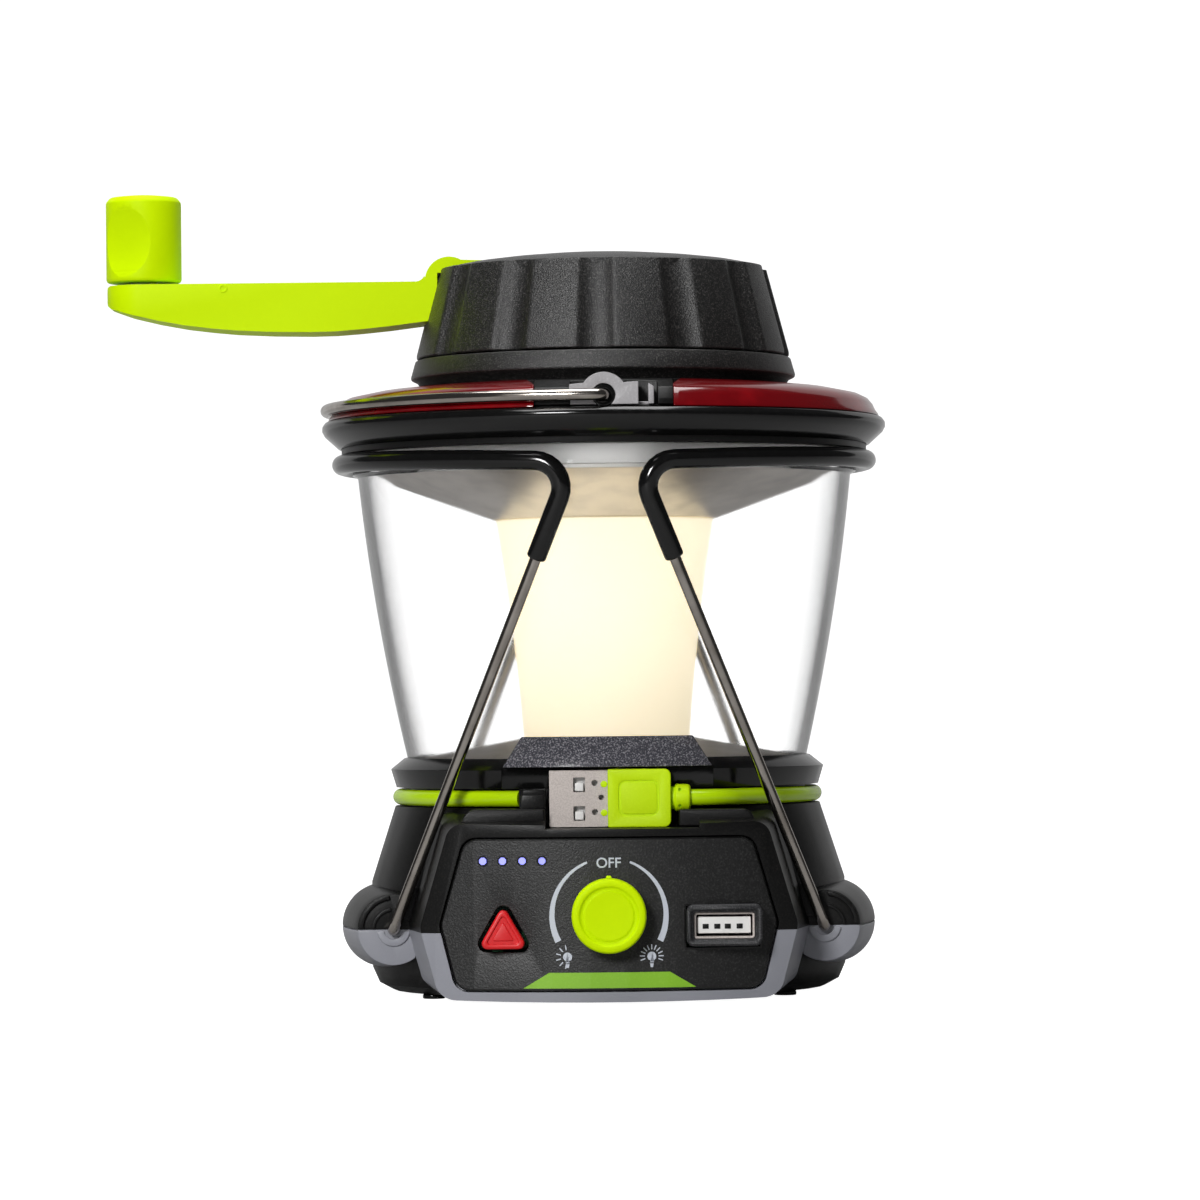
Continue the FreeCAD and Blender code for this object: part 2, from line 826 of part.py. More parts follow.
def build_socket():
    """Charging socket: rubber frame, metal shell and the insulator with its tongue."""
    frame = trimmed("frame_front", port_block("frame_outer", 2.5, 3.0, -58, 8), d.panel_sunk - 0.5)
    node("port_frame", cut("port_frame_shape", frame, port_block("frame_mouth", 0, 0, -65, 20)))
    sheet_metal = 0.6
    shell = port_block("socket_outer", 0, 0, -52.6, 14)
    hollow = port_block("socket_hollow", -sheet_metal, -sheet_metal, -52.7, 13.7)
    node("socket_shell", cut("socket_shell_shape", shell, hollow))
    rear = port_block("insulator_rear", -sheet_metal, -sheet_metal, -43.1, 4)
    tongue = block("insulator_tongue", 11.2, 8.6, 1.9, d.port_x - 5.6, -51.6, d.port_z + 0.1)
    node("socket_insulator", fuse("socket_insulator_shape", rear, tongue))

    # board that carries the switches and the socket, from the console room's floor to its ceiling
    low, high = d.panel_bottom + 2.0, d.panel_top - 2.0
    half = d.panel_top_half - 2.0
    board = block("control_plate", half * 2, d.board_thickness, high - low, -half, -d.board_y, low)
    node("control_board", cut("control_board_shape", board, port_block("board_notch", 0, 0, -52.6, 14)))


def build_inner_base():
    ceiling = d.groove_top - d.wall
    thickness = d.board_thickness
    node("main_board", block("board_plate", 56, 49, thickness, -28, -24, ceiling - thickness))
    cells = []
    grooves = []
    for i, y in enumerate((-10.5, 8.5)):
        for shapes, word in ((cells, "cell"), (grooves, "cell_groove")):
            ends = [(9.2, x, y, 14.5) for x in (-32.5, 32.5)]
            shapes.append(many_sided(f"{word}_{i + 1}", 16, ends, "X"))
    node("battery_cells", compound("cells", cells))
    cradle = block("cradle_block", 60, 40, 7.0, -30, -21, 3.2)
    node("battery_cradle", cut("battery_cradle_shape", cradle, *grooves))


# Charging cable and plug, stowed round the base


def build_cable():
    """Cable from its gland, clockwise round the groove, and by a straight and a bend to the plug."""
    radius = number(d.cable_path)
    z = number(d.cable_height)
    leave = math.radians(-number(d.cable_leave))
    gland = math.radians(-90 - number(d.gland_angle))
    bend = number(d.cable_bend)
    y_end = -number(d.plug_y)

    def on_circle(turn):
        return V(radius * math.cos(turn), radius * math.sin(turn), z)

    run = (radius * math.sin(leave) - bend * (1 + math.sin(leave)) - y_end) / math.cos(leave)
    corner = on_circle(leave) + V(math.sin(leave), -math.cos(leave), 0) * run
    centre = corner - V(math.cos(leave), math.sin(leave), 0) * bend
    middle = (leave - math.pi / 2) / 2
    bend_middle = centre + V(math.cos(middle), math.sin(middle), 0) * bend
    bend_end = centre + V(0, -bend, 0)
    relief_end = V(number(d.plug_grip_length + d.relief_length) + 0.2, y_end, z)
    if bend_end.x < relief_end.x:
        raise ValueError("the cable's bend ends inside the plug")
    sweep = gland + 2 * math.pi - leave
    quarter, half, three = (on_circle(gland - sweep * share) for share in (0.25, 0.5, 0.75))
    edges = [
        Part.Arc(on_circle(gland), quarter, half).toShape(),
        Part.Arc(half, three, on_circle(leave)).toShape(),
        Part.LineSegment(on_circle(leave), corner).toShape(),
        Part.Arc(corner, bend_middle, bend_end).toShape(),
        Part.LineSegment(bend_end, relief_end).toShape(),
    ]
    print("cable length", round(sum(edge.Length for edge in edges), 1))
    node("charging_cable", feature("cable", tube(edges, number(d.cable_radius), 6)))


def build_plug():
    z = d.cable_height
    low = z - d.plug_height / 2
    length, depth = d.plug_shell_length, d.plug_shell_depth
    front = -(d.plug_y + depth / 2)
    outer = block("plug_shell_outer", length, depth, d.plug_height - 0.4, -length, front, low + 0.2)
    sheet_metal = 0.35
    hollow = block(
        "plug_shell_hollow",
        length,
        depth - 2 * sheet_metal,
        d.plug_height - 0.4 - 2 * sheet_metal,
        -length - 0.5,
        front + sheet_metal,
        low + 0.2 + sheet_metal,
    )
    windows = [
        block(f"plug_window_{i + 1}", 2.2, 1.0, 2.4, -7.2, front - 0.3, z + side * 3.1 - 1.2)
        for i, side in enumerate((-1, 1))
    ]
    node("plug_shell", cut("plug_shell_shape", outer, hollow, *windows))
    back, height = -d.plug_y - 0.1, d.plug_height - 1.6
    tongue = block("tongue_block", length - 0.8, 1.9, height, 0.3 - length, back, low + 0.8)
    node("plug_tongue", tongue)
    end, high = d.plug_grip_length, low + d.plug_height
    corners = [(0, low), (end, low), (end, high), (0, high)]
    offset = d.plug_y - d.plug_grip_depth / 2
    grip = padded("grip_pad", "XZ_Plane", corners, d.plug_grip_depth, offset=offset)
    grip = rounded(grip, 2.2, lambda edge: along(V(0, 1, 0))(edge) and edge.BoundBox.XMin > 5)
    reach = d.plug_grip_length + d.relief_length
    ends = [(3.0, d.plug_grip_length - 0.1, -d.plug_y, z), (2.4, reach, -d.plug_y, z)]
    relief = many_sided("relief_barrel", 12, ends, "X")
    bore_ends = [(d.cable_radius + 0.03, x, -d.plug_y, z) for x in (d.plug_grip_length + 0.2, reach + 1)]
    bore = many_sided("relief_bore", 6, bore_ends, "X")
    node("plug_grip", cut("plug_grip_shape", fuse("grip_block", grip, relief), bore))


# Top housing, beacon lenses, ring and collar


def build_top():
    body = ringed(
        "top_body",
        [
            (d.neck_radius, d.globe_height),
            (d.neck_radius, d.shoulder_low),
            (d.deck_radius, d.shoulder_low),
            (d.deck_radius, d.deck_height),
        ],
    )
    dome = ringed(
        "beacon_dome",
        [
            (d.beacon_edge, d.shoulder_low),
            (d.beacon_edge, d.shoulder_low + 1.1),
            (d.beacon_edge - 1.8, 130.0),
            (d.beacon_edge - 8.8, 131.8),
            (d.deck_radius, d.deck_height),
        ],
    )
    core = ringed("beacon_core", [(d.deck_radius, d.shoulder_low - 1), (d.deck_radius, d.deck_height + 1)])
    shoulder = cut("beacon_shoulder", dome, core)
    bar = block("boss_bar", d.beacon_side * 2, 140, 10, -d.beacon_side, -70, d.shoulder_low)
    bosses = common("bosses", shoulder, bar)
    gear_room = prism("gear_room", 12, d.gear_room, 20, 0, 0, d.gear_floor)
    rotor = gear_places()[1]
    pivot_hole = cylinder("rotor_pivot_hole", 1.0 + d.fit, 2, rotor.x, rotor.y, d.gear_floor - 1.5)
    rooms = []
    depth = 9.5
    for word, low in (("front", 1.0 - d.bail_path), ("rear", d.bail_path - 1.0 - depth)):
        rooms.append(block(f"bracket_room_{word}", 18.4, depth, 8, -7.0, low, d.shoulder_low))
    shape = fuse("top_housing_block", body, bosses)
    node("top_housing", cut("top_housing_shape", shape, gear_room, pivot_hole, *rooms))
    for word, low in (("left", -70 - d.beacon_side), ("right", d.beacon_side)):
        side = block(f"beacon_side_{word}", 70, 140, 10, low, -70, d.shoulder_low)
        node(f"beacon_lens_{word}", common(f"beacon_lens_{word}_shape", shoulder, side))

    outline = [
        (d.neck_radius + 0.5, d.neck_height),
        (d.ring_radius, d.ring_widest),
        (d.ring_radius, d.ring_top - 1.0),
        (d.ring_radius - 1.0, d.ring_top),
    ]
    opening = ringed("ring_opening", [(d.neck_radius, d.neck_height - 1), (d.neck_radius, d.ring_top + 1)])
    node("trim_ring", cut("trim_ring_shape", ringed("ring_outer", outline), opening))
    outline = [
        (d.collar_neck, d.deck_height),
        (d.collar_neck, d.collar_bottom),
        (d.collar_low, d.collar_bottom),
        (d.collar_low, d.collar_bottom + 0.8),
        (d.collar_top, d.collar_height),
    ]
    bore = cylinder("collar_bore", d.shaft_radius + d.fit, 10, 0, 0, d.deck_height - 1)
    node("top_collar", cut("top_collar_shape", ringed("collar_body", outline), bore))


def build_brackets():
    """Blocks at the front and rear that the bail's ends turn in, each with a stop beside it."""
    depth = 6.6
    base = d.shoulder_low
    for word, low in (("front", 2.3 - d.bail_path), ("rear", d.bail_path - 2.3 - depth)):
        name = f"bracket_{word}"
        foot = block(name + "_block", 14.1, depth, 5.2, -6.5, low, base)
        boss = cylinder(name + "_round", 3.1, depth, 0, low, d.bail_height + 0.1, "Y")
        boss = cut(name + "_boss", boss, block(name + "_under", 10, 10, 5, -5, low - 1, base - 5))
        fin = block(name + "_fin", 1.0, depth - 1, 5.0, 9.9, low + 0.5, base)
        web = block(name + "_web", 4.0, depth - 1, 1.6, 7.0, low + 0.5, base)
        bore = cylinder(name + "_bore", d.bail_wire + d.fit, depth + 4, 0, low - 2, d.bail_height, "Y")
        node(f"bail_{name}", cut(name + "_shape", fuse(name + "_solid", foot, boss, fin, web), bore))


def flip_y(point):
    return V(point.x, -point.y, point.z)


def build_bail():
    """Half ring that lies round the left side, its ends bent in to the brackets."""
    radius = number(d.bail_path)
    bend = number(d.bail_bend)
    z = number(d.bail_height)
    centre_y = math.sqrt((radius - bend) ** 2 - bend**2)
    scale = radius / (radius - bend)
    touch = V(-bend * scale, -centre_y * scale, z)
    start = V(0, -(radius - 8.6), z)
    corner = V(0, -centre_y, z)
    middle = math.atan2(touch.y + centre_y, touch.x + bend) / 2
    arc_middle = V(-bend + bend * math.cos(middle), -centre_y + bend * math.sin(middle), z)
    edges = [
        Part.LineSegment(start, corner).toShape(),
        Part.Arc(corner, arc_middle, touch).toShape(),
        Part.Arc(touch, V(-radius, 0, z), flip_y(touch)).toShape(),
        Part.Arc(flip_y(touch), flip_y(arc_middle), flip_y(corner)).toShape(),
        Part.LineSegment(flip_y(corner), flip_y(start)).toShape(),
    ]
    node("bail_wire", feature("bail", tube(edges, number(d.bail_wire), 6)))


# Legs


def fillet_corner(a, corner, b, radius):
    """Ends of the two straight runs and the middle of the tangent arc between them at a corner."""
    back = (a - corner).normalize()
    ahead = (b - corner).normalize()
    half = back.getAngle(ahead) / 2
    reach = radius / math.tan(half)
    middle = (back + ahead).normalize() * (radius / math.sin(half) - radius)
    return corner + back * reach, corner + middle, corner + ahead * reach


def build_legs():
    """Each leg is a wire bent into the ears and a dipped sleeve that goes round under the ring."""
    arc = number(d.foot_arc)
    x_start = number(d.foot_arc_x)
    front = V(-x_start, -math.sqrt(arc**2 - x_start**2), number(d.foot_arc_front))
    side = V(-arc, 0, number(d.foot_arc_side))
    foot_arc = Part.Arc(front, side, flip_y(front)).toShape()
    outward = foot_arc.tangentAt(foot_arc.FirstParameter).normalize() * -1
    turn_point = front + outward * 9.0
    pivot = V(-number(d.ear_x), -number(d.leg_plane), number(d.ear_z))
    pin_start = pivot + V(0, 10.5, 0)
    share = (number(d.sleeve_end) - pivot.z) / (turn_point.z - pivot.z)
    cuff = pivot + (turn_point - pivot) * share

    pin_end, pin_middle, wire_start = fillet_corner(pin_start, pivot, turn_point, number(d.leg_pin_bend))
    wire_edges = [
        Part.LineSegment(pin_start, pin_end).toShape(),
        Part.Arc(pin_end, pin_middle, wire_start).toShape(),
        Part.LineSegment(wire_start, cuff).toShape(),
    ]
    front_wire = tube(wire_edges, number(d.leg_wire), 6)
    wires = Part.makeCompound([front_wire, front_wire.mirror(V(), V(0, 1, 0))])

    bend_start, bend_middle, bend_end = fillet_corner(pivot, turn_point, front, number(d.leg_bend))
    sleeve_edges = [
        Part.LineSegment(cuff, bend_start).toShape(),
        Part.Arc(bend_start, bend_middle, bend_end).toShape(),
        Part.LineSegment(bend_end, front).toShape(),
        foot_arc,
        Part.LineSegment(flip_y(front), flip_y(bend_end)).toShape(),
        Part.Arc(flip_y(bend_end), flip_y(bend_middle), flip_y(bend_start)).toShape(),
        Part.LineSegment(flip_y(bend_start), flip_y(cuff)).toShape(),
    ]
    sleeve = tube(sleeve_edges, number(d.leg_sleeve), 6)
    for name, shape in (("wire", wires), ("sleeve", sleeve)):
        node(f"leg_{name}_left", feature(name + "_left", shape))
        node(f"leg_{name}_right", feature(name + "_right", shape.mirror(V(), V(1, 0, 0))))


# Crank head, folding arm and knob


def cap_flutes():
    """Round bars that cut the finger grooves, laid along the cap's side."""
    inwards, upwards = number(d.cap_low - d.cap_top), number(d.cap_rim_height - d.cap_bottom)
    lean = FreeCAD.Rotation(V(0, 1, 0), -math.degrees(math.atan2(inwards, upwards)))
    reach = number(d.cap_low + 1.0 + d.flute_radius - d.flute_depth)
    count = int(number(d.flute_count))
    flutes = []
    for i in range(count):
        turn = -92 + 360 / count * i
        if abs(turn % 360 - 180) < 12:
            continue
        bar = doc.addObject("Part::Prism", f"flute_{i + 1}")
        bar.Polygon = 12
        bind(bar, "Circumradius", d.flute_radius)
        bar.Height = 26
        around = FreeCAD.Rotation(V(0, 0, 1), turn)
        foot = around.multVec(V(reach, 0, number(d.cap_bottom) - 4))
        bar.Placement = FreeCAD.Placement(foot, around.multiply(lean))
        flutes.append(bar)
    return flutes


def build_cap():
    cap = ringed(
        "cap_body",
        [
            (d.cap_low, d.collar_height + 0.4),
            (d.cap_low, d.cap_bottom),
            (d.cap_top, d.cap_rim_height),
            (d.cap_shoulder, d.cap_shoulder_height),
            (30.0, d.crown_height - 2.3),
            (24.0, d.crown_height - 1.3),
            (12.0, d.crown_height),
        ],
    )
    # channel for the folded arm, room for its hump and slot for its root
    half = d.arm_half + d.arm_play
    channel = block("channel", 70, 2 * half, 20, -d.hinge_x, -half, d.arm_top + 2.2)
    hump_reach = 16.3
    hump_room = cylinder("hump_room", hump_reach, 2 * half, -d.hinge_x, -half, d.hinge_z, "Y")
    hump_box = block("hump_box", hump_reach, 2 * half, 30, -d.hinge_x, -half, 152.7)
    hump_room = common("hump_pocket", hump_room, hump_box)
    root = block("root_slot", 8.6, 2 * half, 20, -33.4, -half, 153.9)
    over_wall = block("over_wall", 20, 2 * half, 20, -50, -half, 157.7)
    shaft_hole = cylinder("cap_shaft_hole", d.shaft_radius, 10, 0, 0, d.collar_height)
    pin_length = 26
    pin_hole, pin = [
        cylinder(name, d.pin_radius, pin_length, -d.hinge_x, -pin_length / 2, d.hinge_z, "Y")
        for name in ("cap_pin_hole", "hinge_pin_rod")
    ]
    rooms = (channel, hump_room, root, over_wall, pin_hole, shaft_hole)
    node("crank_cap", cut("crank_cap_shape", cap, *cap_flutes(), *rooms))
    node("hinge_pin", pin)
    node("crank_shaft", cylinder("crank_shaft_rod", d.shaft_radius, 22.0, 0, 0, 126.8))


def build_arm():
    """Arm with its hooked root, from the hinge over the cap's rim and out to the knob."""
    barrel_radius = 3.2
    arm = padded(
        "arm_pad",
        "XZ_Plane",
        [
            (-d.hinge_x, d.hinge_z - barrel_radius),
            (-d.hinge_x, d.hinge_z + barrel_radius),
            (-32.2, 161.9),
            (-36.2, 161.55),
            (-38.3, 160.0),
            (-39.7, 157.8),
            (-41.6, d.arm_top),
            (-107.3, d.arm_top),
            (-d.arm_end, 154.6),
            (-d.arm_end, 152.7, -125.0),
            (-70.0, d.arm_belly),
            (-58.0, d.arm_belly),
            (-39.3, 147.4),
            (-37.35, 156.4),
            (-37.35, 158.1),
            (-31.2, 158.1),
            (-30.4, d.hinge_z - barrel_radius),
        ],
        2 * d.arm_half,
        both=True,
    )
    barrel = cylinder("arm_barrel", barrel_radius, 2 * d.arm_half, -d.hinge_x, -d.arm_half, d.hinge_z, "Y")
    end_x = -(d.arm_end - d.arm_half)
    round_end = cylinder("arm_round_end", d.arm_half, 40, end_x, 0, 130)
    inner = block("arm_inner", 90, 2 * d.arm_half, 40, end_x, -d.arm_half, 130)
    plan = fuse("arm_plan", round_end, inner)
    arm = common("arm_rounded", fuse("arm_block", arm, barrel), plan)
    hole = cylinder("arm_pin_hole", d.pin_radius + d.fit, 30, -d.hinge_x, -15, d.hinge_z, "Y")
    bumps = []
    for i, side in enumerate((-1, 1)):
        middle = side * d.arm_half
        ends = [(0.8, -83.4, y, 155.2) for y in (middle - 0.2, middle + 0.2)]
        bumps.append(many_sided(f"bump_{i + 1}", 8, ends, "Y"))
    node("crank_arm", cut("crank_arm_shape", fuse("arm_with_bumps", arm, *bumps), hole))
    node("knob_post", cylinder("knob_post_rod", d.shaft_radius, 18.0, -d.knob_x, 0, d.arm_top))


def build_knob():
    """Round knob with a domed top and a scoop for the fingers, that turns on its post."""
    outline = [
        (d.knob_radius, d.knob_bottom),
        (d.knob_radius, d.knob_top - 1.5),
        (d.knob_radius - 0.9, d.knob_top - 0.4),
        (d.knob_radius - 4.3, d.knob_top),
    ]
    knob = many_sided("knob_body", 24, [(radius, -d.knob_x, 0, height) for radius, height in outline])
    bore = cylinder("knob_bore", d.shaft_radius + d.fit, 17.6, -d.knob_x, 0, d.knob_bottom - 0.2)
    height = d.knob_top - d.knob_bottom
    scoop = cylinder("knob_scoop", 15.0, height - 5, -d.knob_x - 3.6, -21.4, d.knob_bottom + 2.5)
    node("crank_knob", cut("crank_knob_shape", knob, bore, scoop))


# Gear train and generator


def gear_outline(teeth, module, thin):
    """Corners of a spur gear with straight flanks, its teeth thinned by thin on each side."""
    pitch = teeth * module / 2
    above, below = module * 0.9, module * 1.15
    slope = math.tan(math.radians(20))
    half = math.pi / (2 * teeth) - thin / pitch
    tooth = (
        (pitch - below, -half - slope * below / pitch),
        (pitch + above, -half + slope * above / pitch),
        (pitch + above, half - slope * above / pitch),
        (pitch - below, half + slope * below / pitch),
    )
    corners = []
    for i in range(teeth):
        middle = 2 * math.pi * i / teeth
        for radius, turn in tooth:
            corners.append(V(radius * math.cos(middle + turn), radius * math.sin(middle + turn), 0))
    return corners


def gear(teeth, centre, low, width, phase):
    corners = gear_outline(teeth, number(d.gear_module), 0.12)
    solid = Part.Face(Part.makePolygon(corners + corners[:1])).extrude(V(0, 0, width))
    solid.rotate(V(), V(0, 0, 1), phase)
    solid.translate(V(centre.x, centre.y, low))
    return solid


IDLER_ANGLE, ROTOR_ANGLE = 20.0, 145.0


def gear_places():
    """Axes of the idler and the rotor, one gear distance from the crank and from each other."""
    distance = number(d.gear_module) * (number(d.wheel_teeth) + number(d.pinion_teeth)) / 2
    idler = FreeCAD.Rotation(V(0, 0, 1), IDLER_ANGLE).multVec(V(distance, 0, 0))
    rotor = idler + FreeCAD.Rotation(V(0, 0, 1), ROTOR_ANGLE).multVec(V(distance, 0, 0))
    return idler, rotor


def build_gears():
    """Two steps of gears from the crank up to the rotor; a tooth of each wheel meets a gap of its pinion."""
    idler, rotor = gear_places()
    wheel = int(number(d.wheel_teeth))
    pinion = int(number(d.pinion_teeth))
    width = number(d.gear_width)
    floor = number(d.gear_floor)
    gap = 180.0 / pinion
    drive_low, wheel_low, rotor_low = floor + 7.4, floor + 3.8, floor + 3.0

    drive = gear(wheel, V(), drive_low, width, IDLER_ANGLE)
    drive = drive.cut(Part.makeCylinder(number(d.shaft_radius), 10, V(0, 0, drive_low - 1)))
    node("drive_gear", feature("drive", drive))

    small = gear(pinion, idler, wheel_low + width, width + 0.8, IDLER_ANGLE + 180 + gap)
    large = gear(wheel, idler, wheel_low, width, ROTOR_ANGLE)
    bore = Part.makeCylinder(number(d.pin_radius + d.fit), 12, V(idler.x, idler.y, wheel_low - 1))
    node("idler_gear", feature("idler", small.fuse(large).cut(bore).removeSplitter()))
    room_height = d.deck_height - d.gear_floor
    post = cylinder("idler_post_rod", d.pin_radius, room_height, idler.x, idler.y, d.gear_floor)
    spacer = prism("idler_spacer", 8, 2.6, 3.75, idler.x, idler.y, d.gear_floor)
    node("idler_post", fuse("idler_post_shape", post, spacer))

    turning = gear(pinion, rotor, rotor_low, width + 0.6, ROTOR_ANGLE + 180 + gap)
    node("rotor_pinion", feature("pinion", turning))
    pivot = cylinder("rotor_pivot", 1.0, 2.2, rotor.x, rotor.y, d.gear_floor - 1.4)
    magnet = prism("magnet_disc", 12, 7.6, 2.4, rotor.x, rotor.y, d.gear_floor + 0.6)
    node("rotor_magnet", fuse("rotor_magnet_shape", pivot, magnet))
    yoke = prism("stator_yoke", 6, 14.0, 2.6, rotor.x, rotor.y, d.gear_floor)
    hole = prism("stator_hole", 12, 8.4, 6, rotor.x, rotor.y, d.gear_floor - 1)
    node("stator", cut("stator_shape", yoke, hole))


build_base()
build_feet()
build_globe()
build_lights()
build_ramp()
build_panel()
build_selector()
build_button()
build_socket()
build_inner_base()
build_cable()
build_plug()
build_top()
build_brackets()
build_bail()
build_legs()
build_cap()
build_arm()
build_knob()
build_gears()

doc.recompute()
for obj in doc.Objects:
    if "Invalid" in obj.State or "Error" in obj.State:
        raise RuntimeError(f"{obj.Label} failed: {obj.State}")
for name, obj in NODES.items():
    if obj.Shape.isNull() or not obj.Shape.isValid() or not obj.Shape.Solids:
        raise RuntimeError(f"{name} has no valid solid")

os.makedirs("parts", exist_ok=True)
for name, obj in NODES.items():
    obj.Shape.exportStep(f"parts/{name}.step")
print(len(NODES), "nodes")
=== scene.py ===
import json
from math import atan2, cos, pi, radians, sin, sqrt, tan

import bmesh
import bpy
from mathutils import Matrix, Vector


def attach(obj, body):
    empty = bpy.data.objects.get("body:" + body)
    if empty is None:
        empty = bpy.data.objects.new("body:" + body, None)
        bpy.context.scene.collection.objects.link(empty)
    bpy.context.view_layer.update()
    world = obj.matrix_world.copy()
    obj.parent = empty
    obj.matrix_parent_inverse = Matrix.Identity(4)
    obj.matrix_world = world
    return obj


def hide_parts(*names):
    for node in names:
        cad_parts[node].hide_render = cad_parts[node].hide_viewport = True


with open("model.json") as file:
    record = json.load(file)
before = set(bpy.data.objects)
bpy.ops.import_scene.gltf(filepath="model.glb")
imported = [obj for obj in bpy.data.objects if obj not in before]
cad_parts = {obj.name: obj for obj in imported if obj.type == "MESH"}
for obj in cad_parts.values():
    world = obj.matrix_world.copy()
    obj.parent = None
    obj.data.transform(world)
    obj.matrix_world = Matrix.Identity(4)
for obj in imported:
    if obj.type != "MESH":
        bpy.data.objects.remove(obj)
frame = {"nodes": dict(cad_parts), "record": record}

# Hand crank lantern. Sizes are in millimetres, as in the part's source, and are scaled where a mesh is made.
# +Z is up, the control panel faces -Y and the lamp's axis is the Z axis.

MM = 0.001
MERGE_GAP = 0.000002  # metres between points that count as one
SLIVER_GAP = 0.000003  # metres below which an edge or face is a sliver
FLAT_ANGLE = 0.6  # degrees between triangles that count as one flat face
ALONG_Y = (radians(90), 0, 0)  # turn that lays an upright cylinder along Y
BAIL_Z = 128.2
PRINT_Y, PRINT_LIFT = -64, 0.04  # where prints are drawn, and how far they stand off the panel
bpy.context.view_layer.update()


def mm(*values):
    return Vector(values) * MM


# Camera, floor and light


def place_camera():
    """Camera at the photograph's angle, turned a little about its own axis as the photograph is."""
    bpy.ops.object.camera_add(location=(-0.0014, -1.2, 0.0662))
    camera = bpy.context.object
    camera.name = "photo_camera"
    camera.rotation_euler = (radians(90.949), radians(0.6), 0)
    camera.data.sensor_width = 36
    camera.data.lens = 163.08
    camera.data.clip_start = 0.02
    camera.data.clip_end = 20
    bpy.context.scene.camera = camera


def add_softbox(name, place, aim, size_x, size_y, power):
    bpy.ops.object.light_add(type="AREA", location=place)
    light = bpy.context.object
    light.name = name
    light.data.shape = "RECTANGLE"
    light.data.size = size_x
    light.data.size_y = size_y
    light.data.energy = power
    light.rotation_euler = (Vector(aim) - Vector(place)).to_track_quat("-Z", "Y").to_euler()


def paper_material():
    """Paper that is white to the camera and through the globe, and lights the lantern mostly from behind."""
    paper = bpy.data.materials.new("pale_paper")
    paper.use_nodes = True
    shader = paper.node_tree.nodes["Principled BSDF"]
    shader.inputs["Base Color"].default_value = (0.3, 0.3, 0.3, 1)
    shader.inputs["Roughness"].default_value = 0.8
    shader.inputs["Emission Color"].default_value = (1, 1, 1, 1)
    add = node_adder(paper.node_tree)

    def count(operation, *values):
        return add("Math", dict(enumerate(values)), operation).outputs[0]

    split = add("SeparateXYZ", {"Vector": add("TexCoord").outputs["Object"]})
    depths = {"From Min": 0.0, "From Max": 1.6, "To Min": 0.03, "To Max": 0.85, "Value": split.outputs["Y"]}
    fade = add("MapRange", depths).outputs["Result"]
    path = add("LightPath").outputs
    mirrored = count("MINIMUM", path["Glossy Depth"], 1.0)
    through = count("MINIMUM", path["Transmission Depth"], 1.0)
    straight = count("MULTIPLY", path["Is Transmission Ray"], count("SUBTRACT", 1.0, mirrored))
    seen = count("MAXIMUM", path["Is Camera Ray"], count("MULTIPLY", straight, 1.5))
    softened = count("MULTIPLY", fade, count("MULTIPLY_ADD", mirrored, -0.45, 1.0))
    dimmed = count("MULTIPLY", softened, count("MULTIPLY_ADD", through, -0.85, 1.0))
    paper.node_tree.links.new(count("MAXIMUM", seen, dimmed), shader.inputs["Emission Strength"])
    return paper


def build_stage():
    """Pale sweep of paper under and behind the lantern, and two softboxes."""
    deselect_all()
    bpy.ops.mesh.primitive_plane_add(size=6, location=(0, 0, 0))
    sweep = bpy.context.object
    sweep.name = "paper_sweep"
    bpy.ops.object.mode_set(mode="EDIT")
    pick("EDGE", lambda edge: all(v.co.y > 2.9 for v in edge.verts))
    extrude((0, 0, 4))
    pick("EDGE", lambda edge: all(v.co.y > 2.9 and abs(v.co.z) < 0.001 for v in edge.verts))
    bpy.ops.mesh.bevel(offset=1.5, segments=16)
    leave_edit()
    bpy.ops.object.transform_apply(location=True, rotation=True, scale=True)
    bpy.ops.object.shade_smooth()
    sweep.data.materials.append(paper_material())

    world = bpy.data.worlds.new("studio_air")
    world.use_nodes = True
    world.node_tree.nodes["Background"].inputs["Color"].default_value = (0.97, 0.98, 1.0, 1)
    world.node_tree.nodes["Background"].inputs["Strength"].default_value = 0.05
    bpy.context.scene.world = world
    bpy.context.scene.view_settings.view_transform = "Standard"
    add_softbox("key_softbox", (-0.45, -1.2, 0.52), (0, 0, 0.08), 0.28, 0.34, 12.5)
    add_softbox("top_softbox", (-0.05, 0.0, 1.2), (0, 0, 0.1), 0.8, 0.8, 13)


# Modelling steps that many pieces share


def deselect_all():
    if bpy.context.object and bpy.context.object.mode != "OBJECT":
        leave_edit()
    bpy.ops.object.select_all(action="DESELECT")


def enter_edit(kind=None):
    """Edit mode with the whole mesh selected."""
    bpy.ops.object.mode_set(mode="EDIT")
    if kind:
        bpy.ops.mesh.select_mode(type=kind)
    bpy.ops.mesh.select_all(action="SELECT")


def leave_edit():
    bpy.ops.object.mode_set(mode="OBJECT")


def extrude(move):
    bpy.ops.mesh.extrude_region_move(TRANSFORM_OT_translate={"value": move})


def pick(kind, test):
    """Selects the vertices, edges or faces of the mesh in edit mode that pass the test."""
    bpy.ops.mesh.select_mode(type=kind)
    bpy.ops.mesh.select_all(action="DESELECT")
    mesh = bmesh.from_edit_mesh(bpy.context.object.data)
    for part in {"VERT": mesh.verts, "EDGE": mesh.edges, "FACE": mesh.faces}[kind]:
        if test(part):
            part.select_set(True)
    mesh.select_flush_mode()
    bmesh.update_edit_mesh(bpy.context.object.data)


def name_piece(name):
    piece = bpy.context.object
    piece.name = name
    piece.data.name = name
    return piece


def choose(piece):
    deselect_all()
    piece.select_set(True)
    bpy.context.view_layer.objects.active = piece


def settle(piece):
    """Puts the piece's place, turn and size into its mesh."""
    choose(piece)
    bpy.ops.object.transform_apply(location=True, rotation=True, scale=True)
    return piece


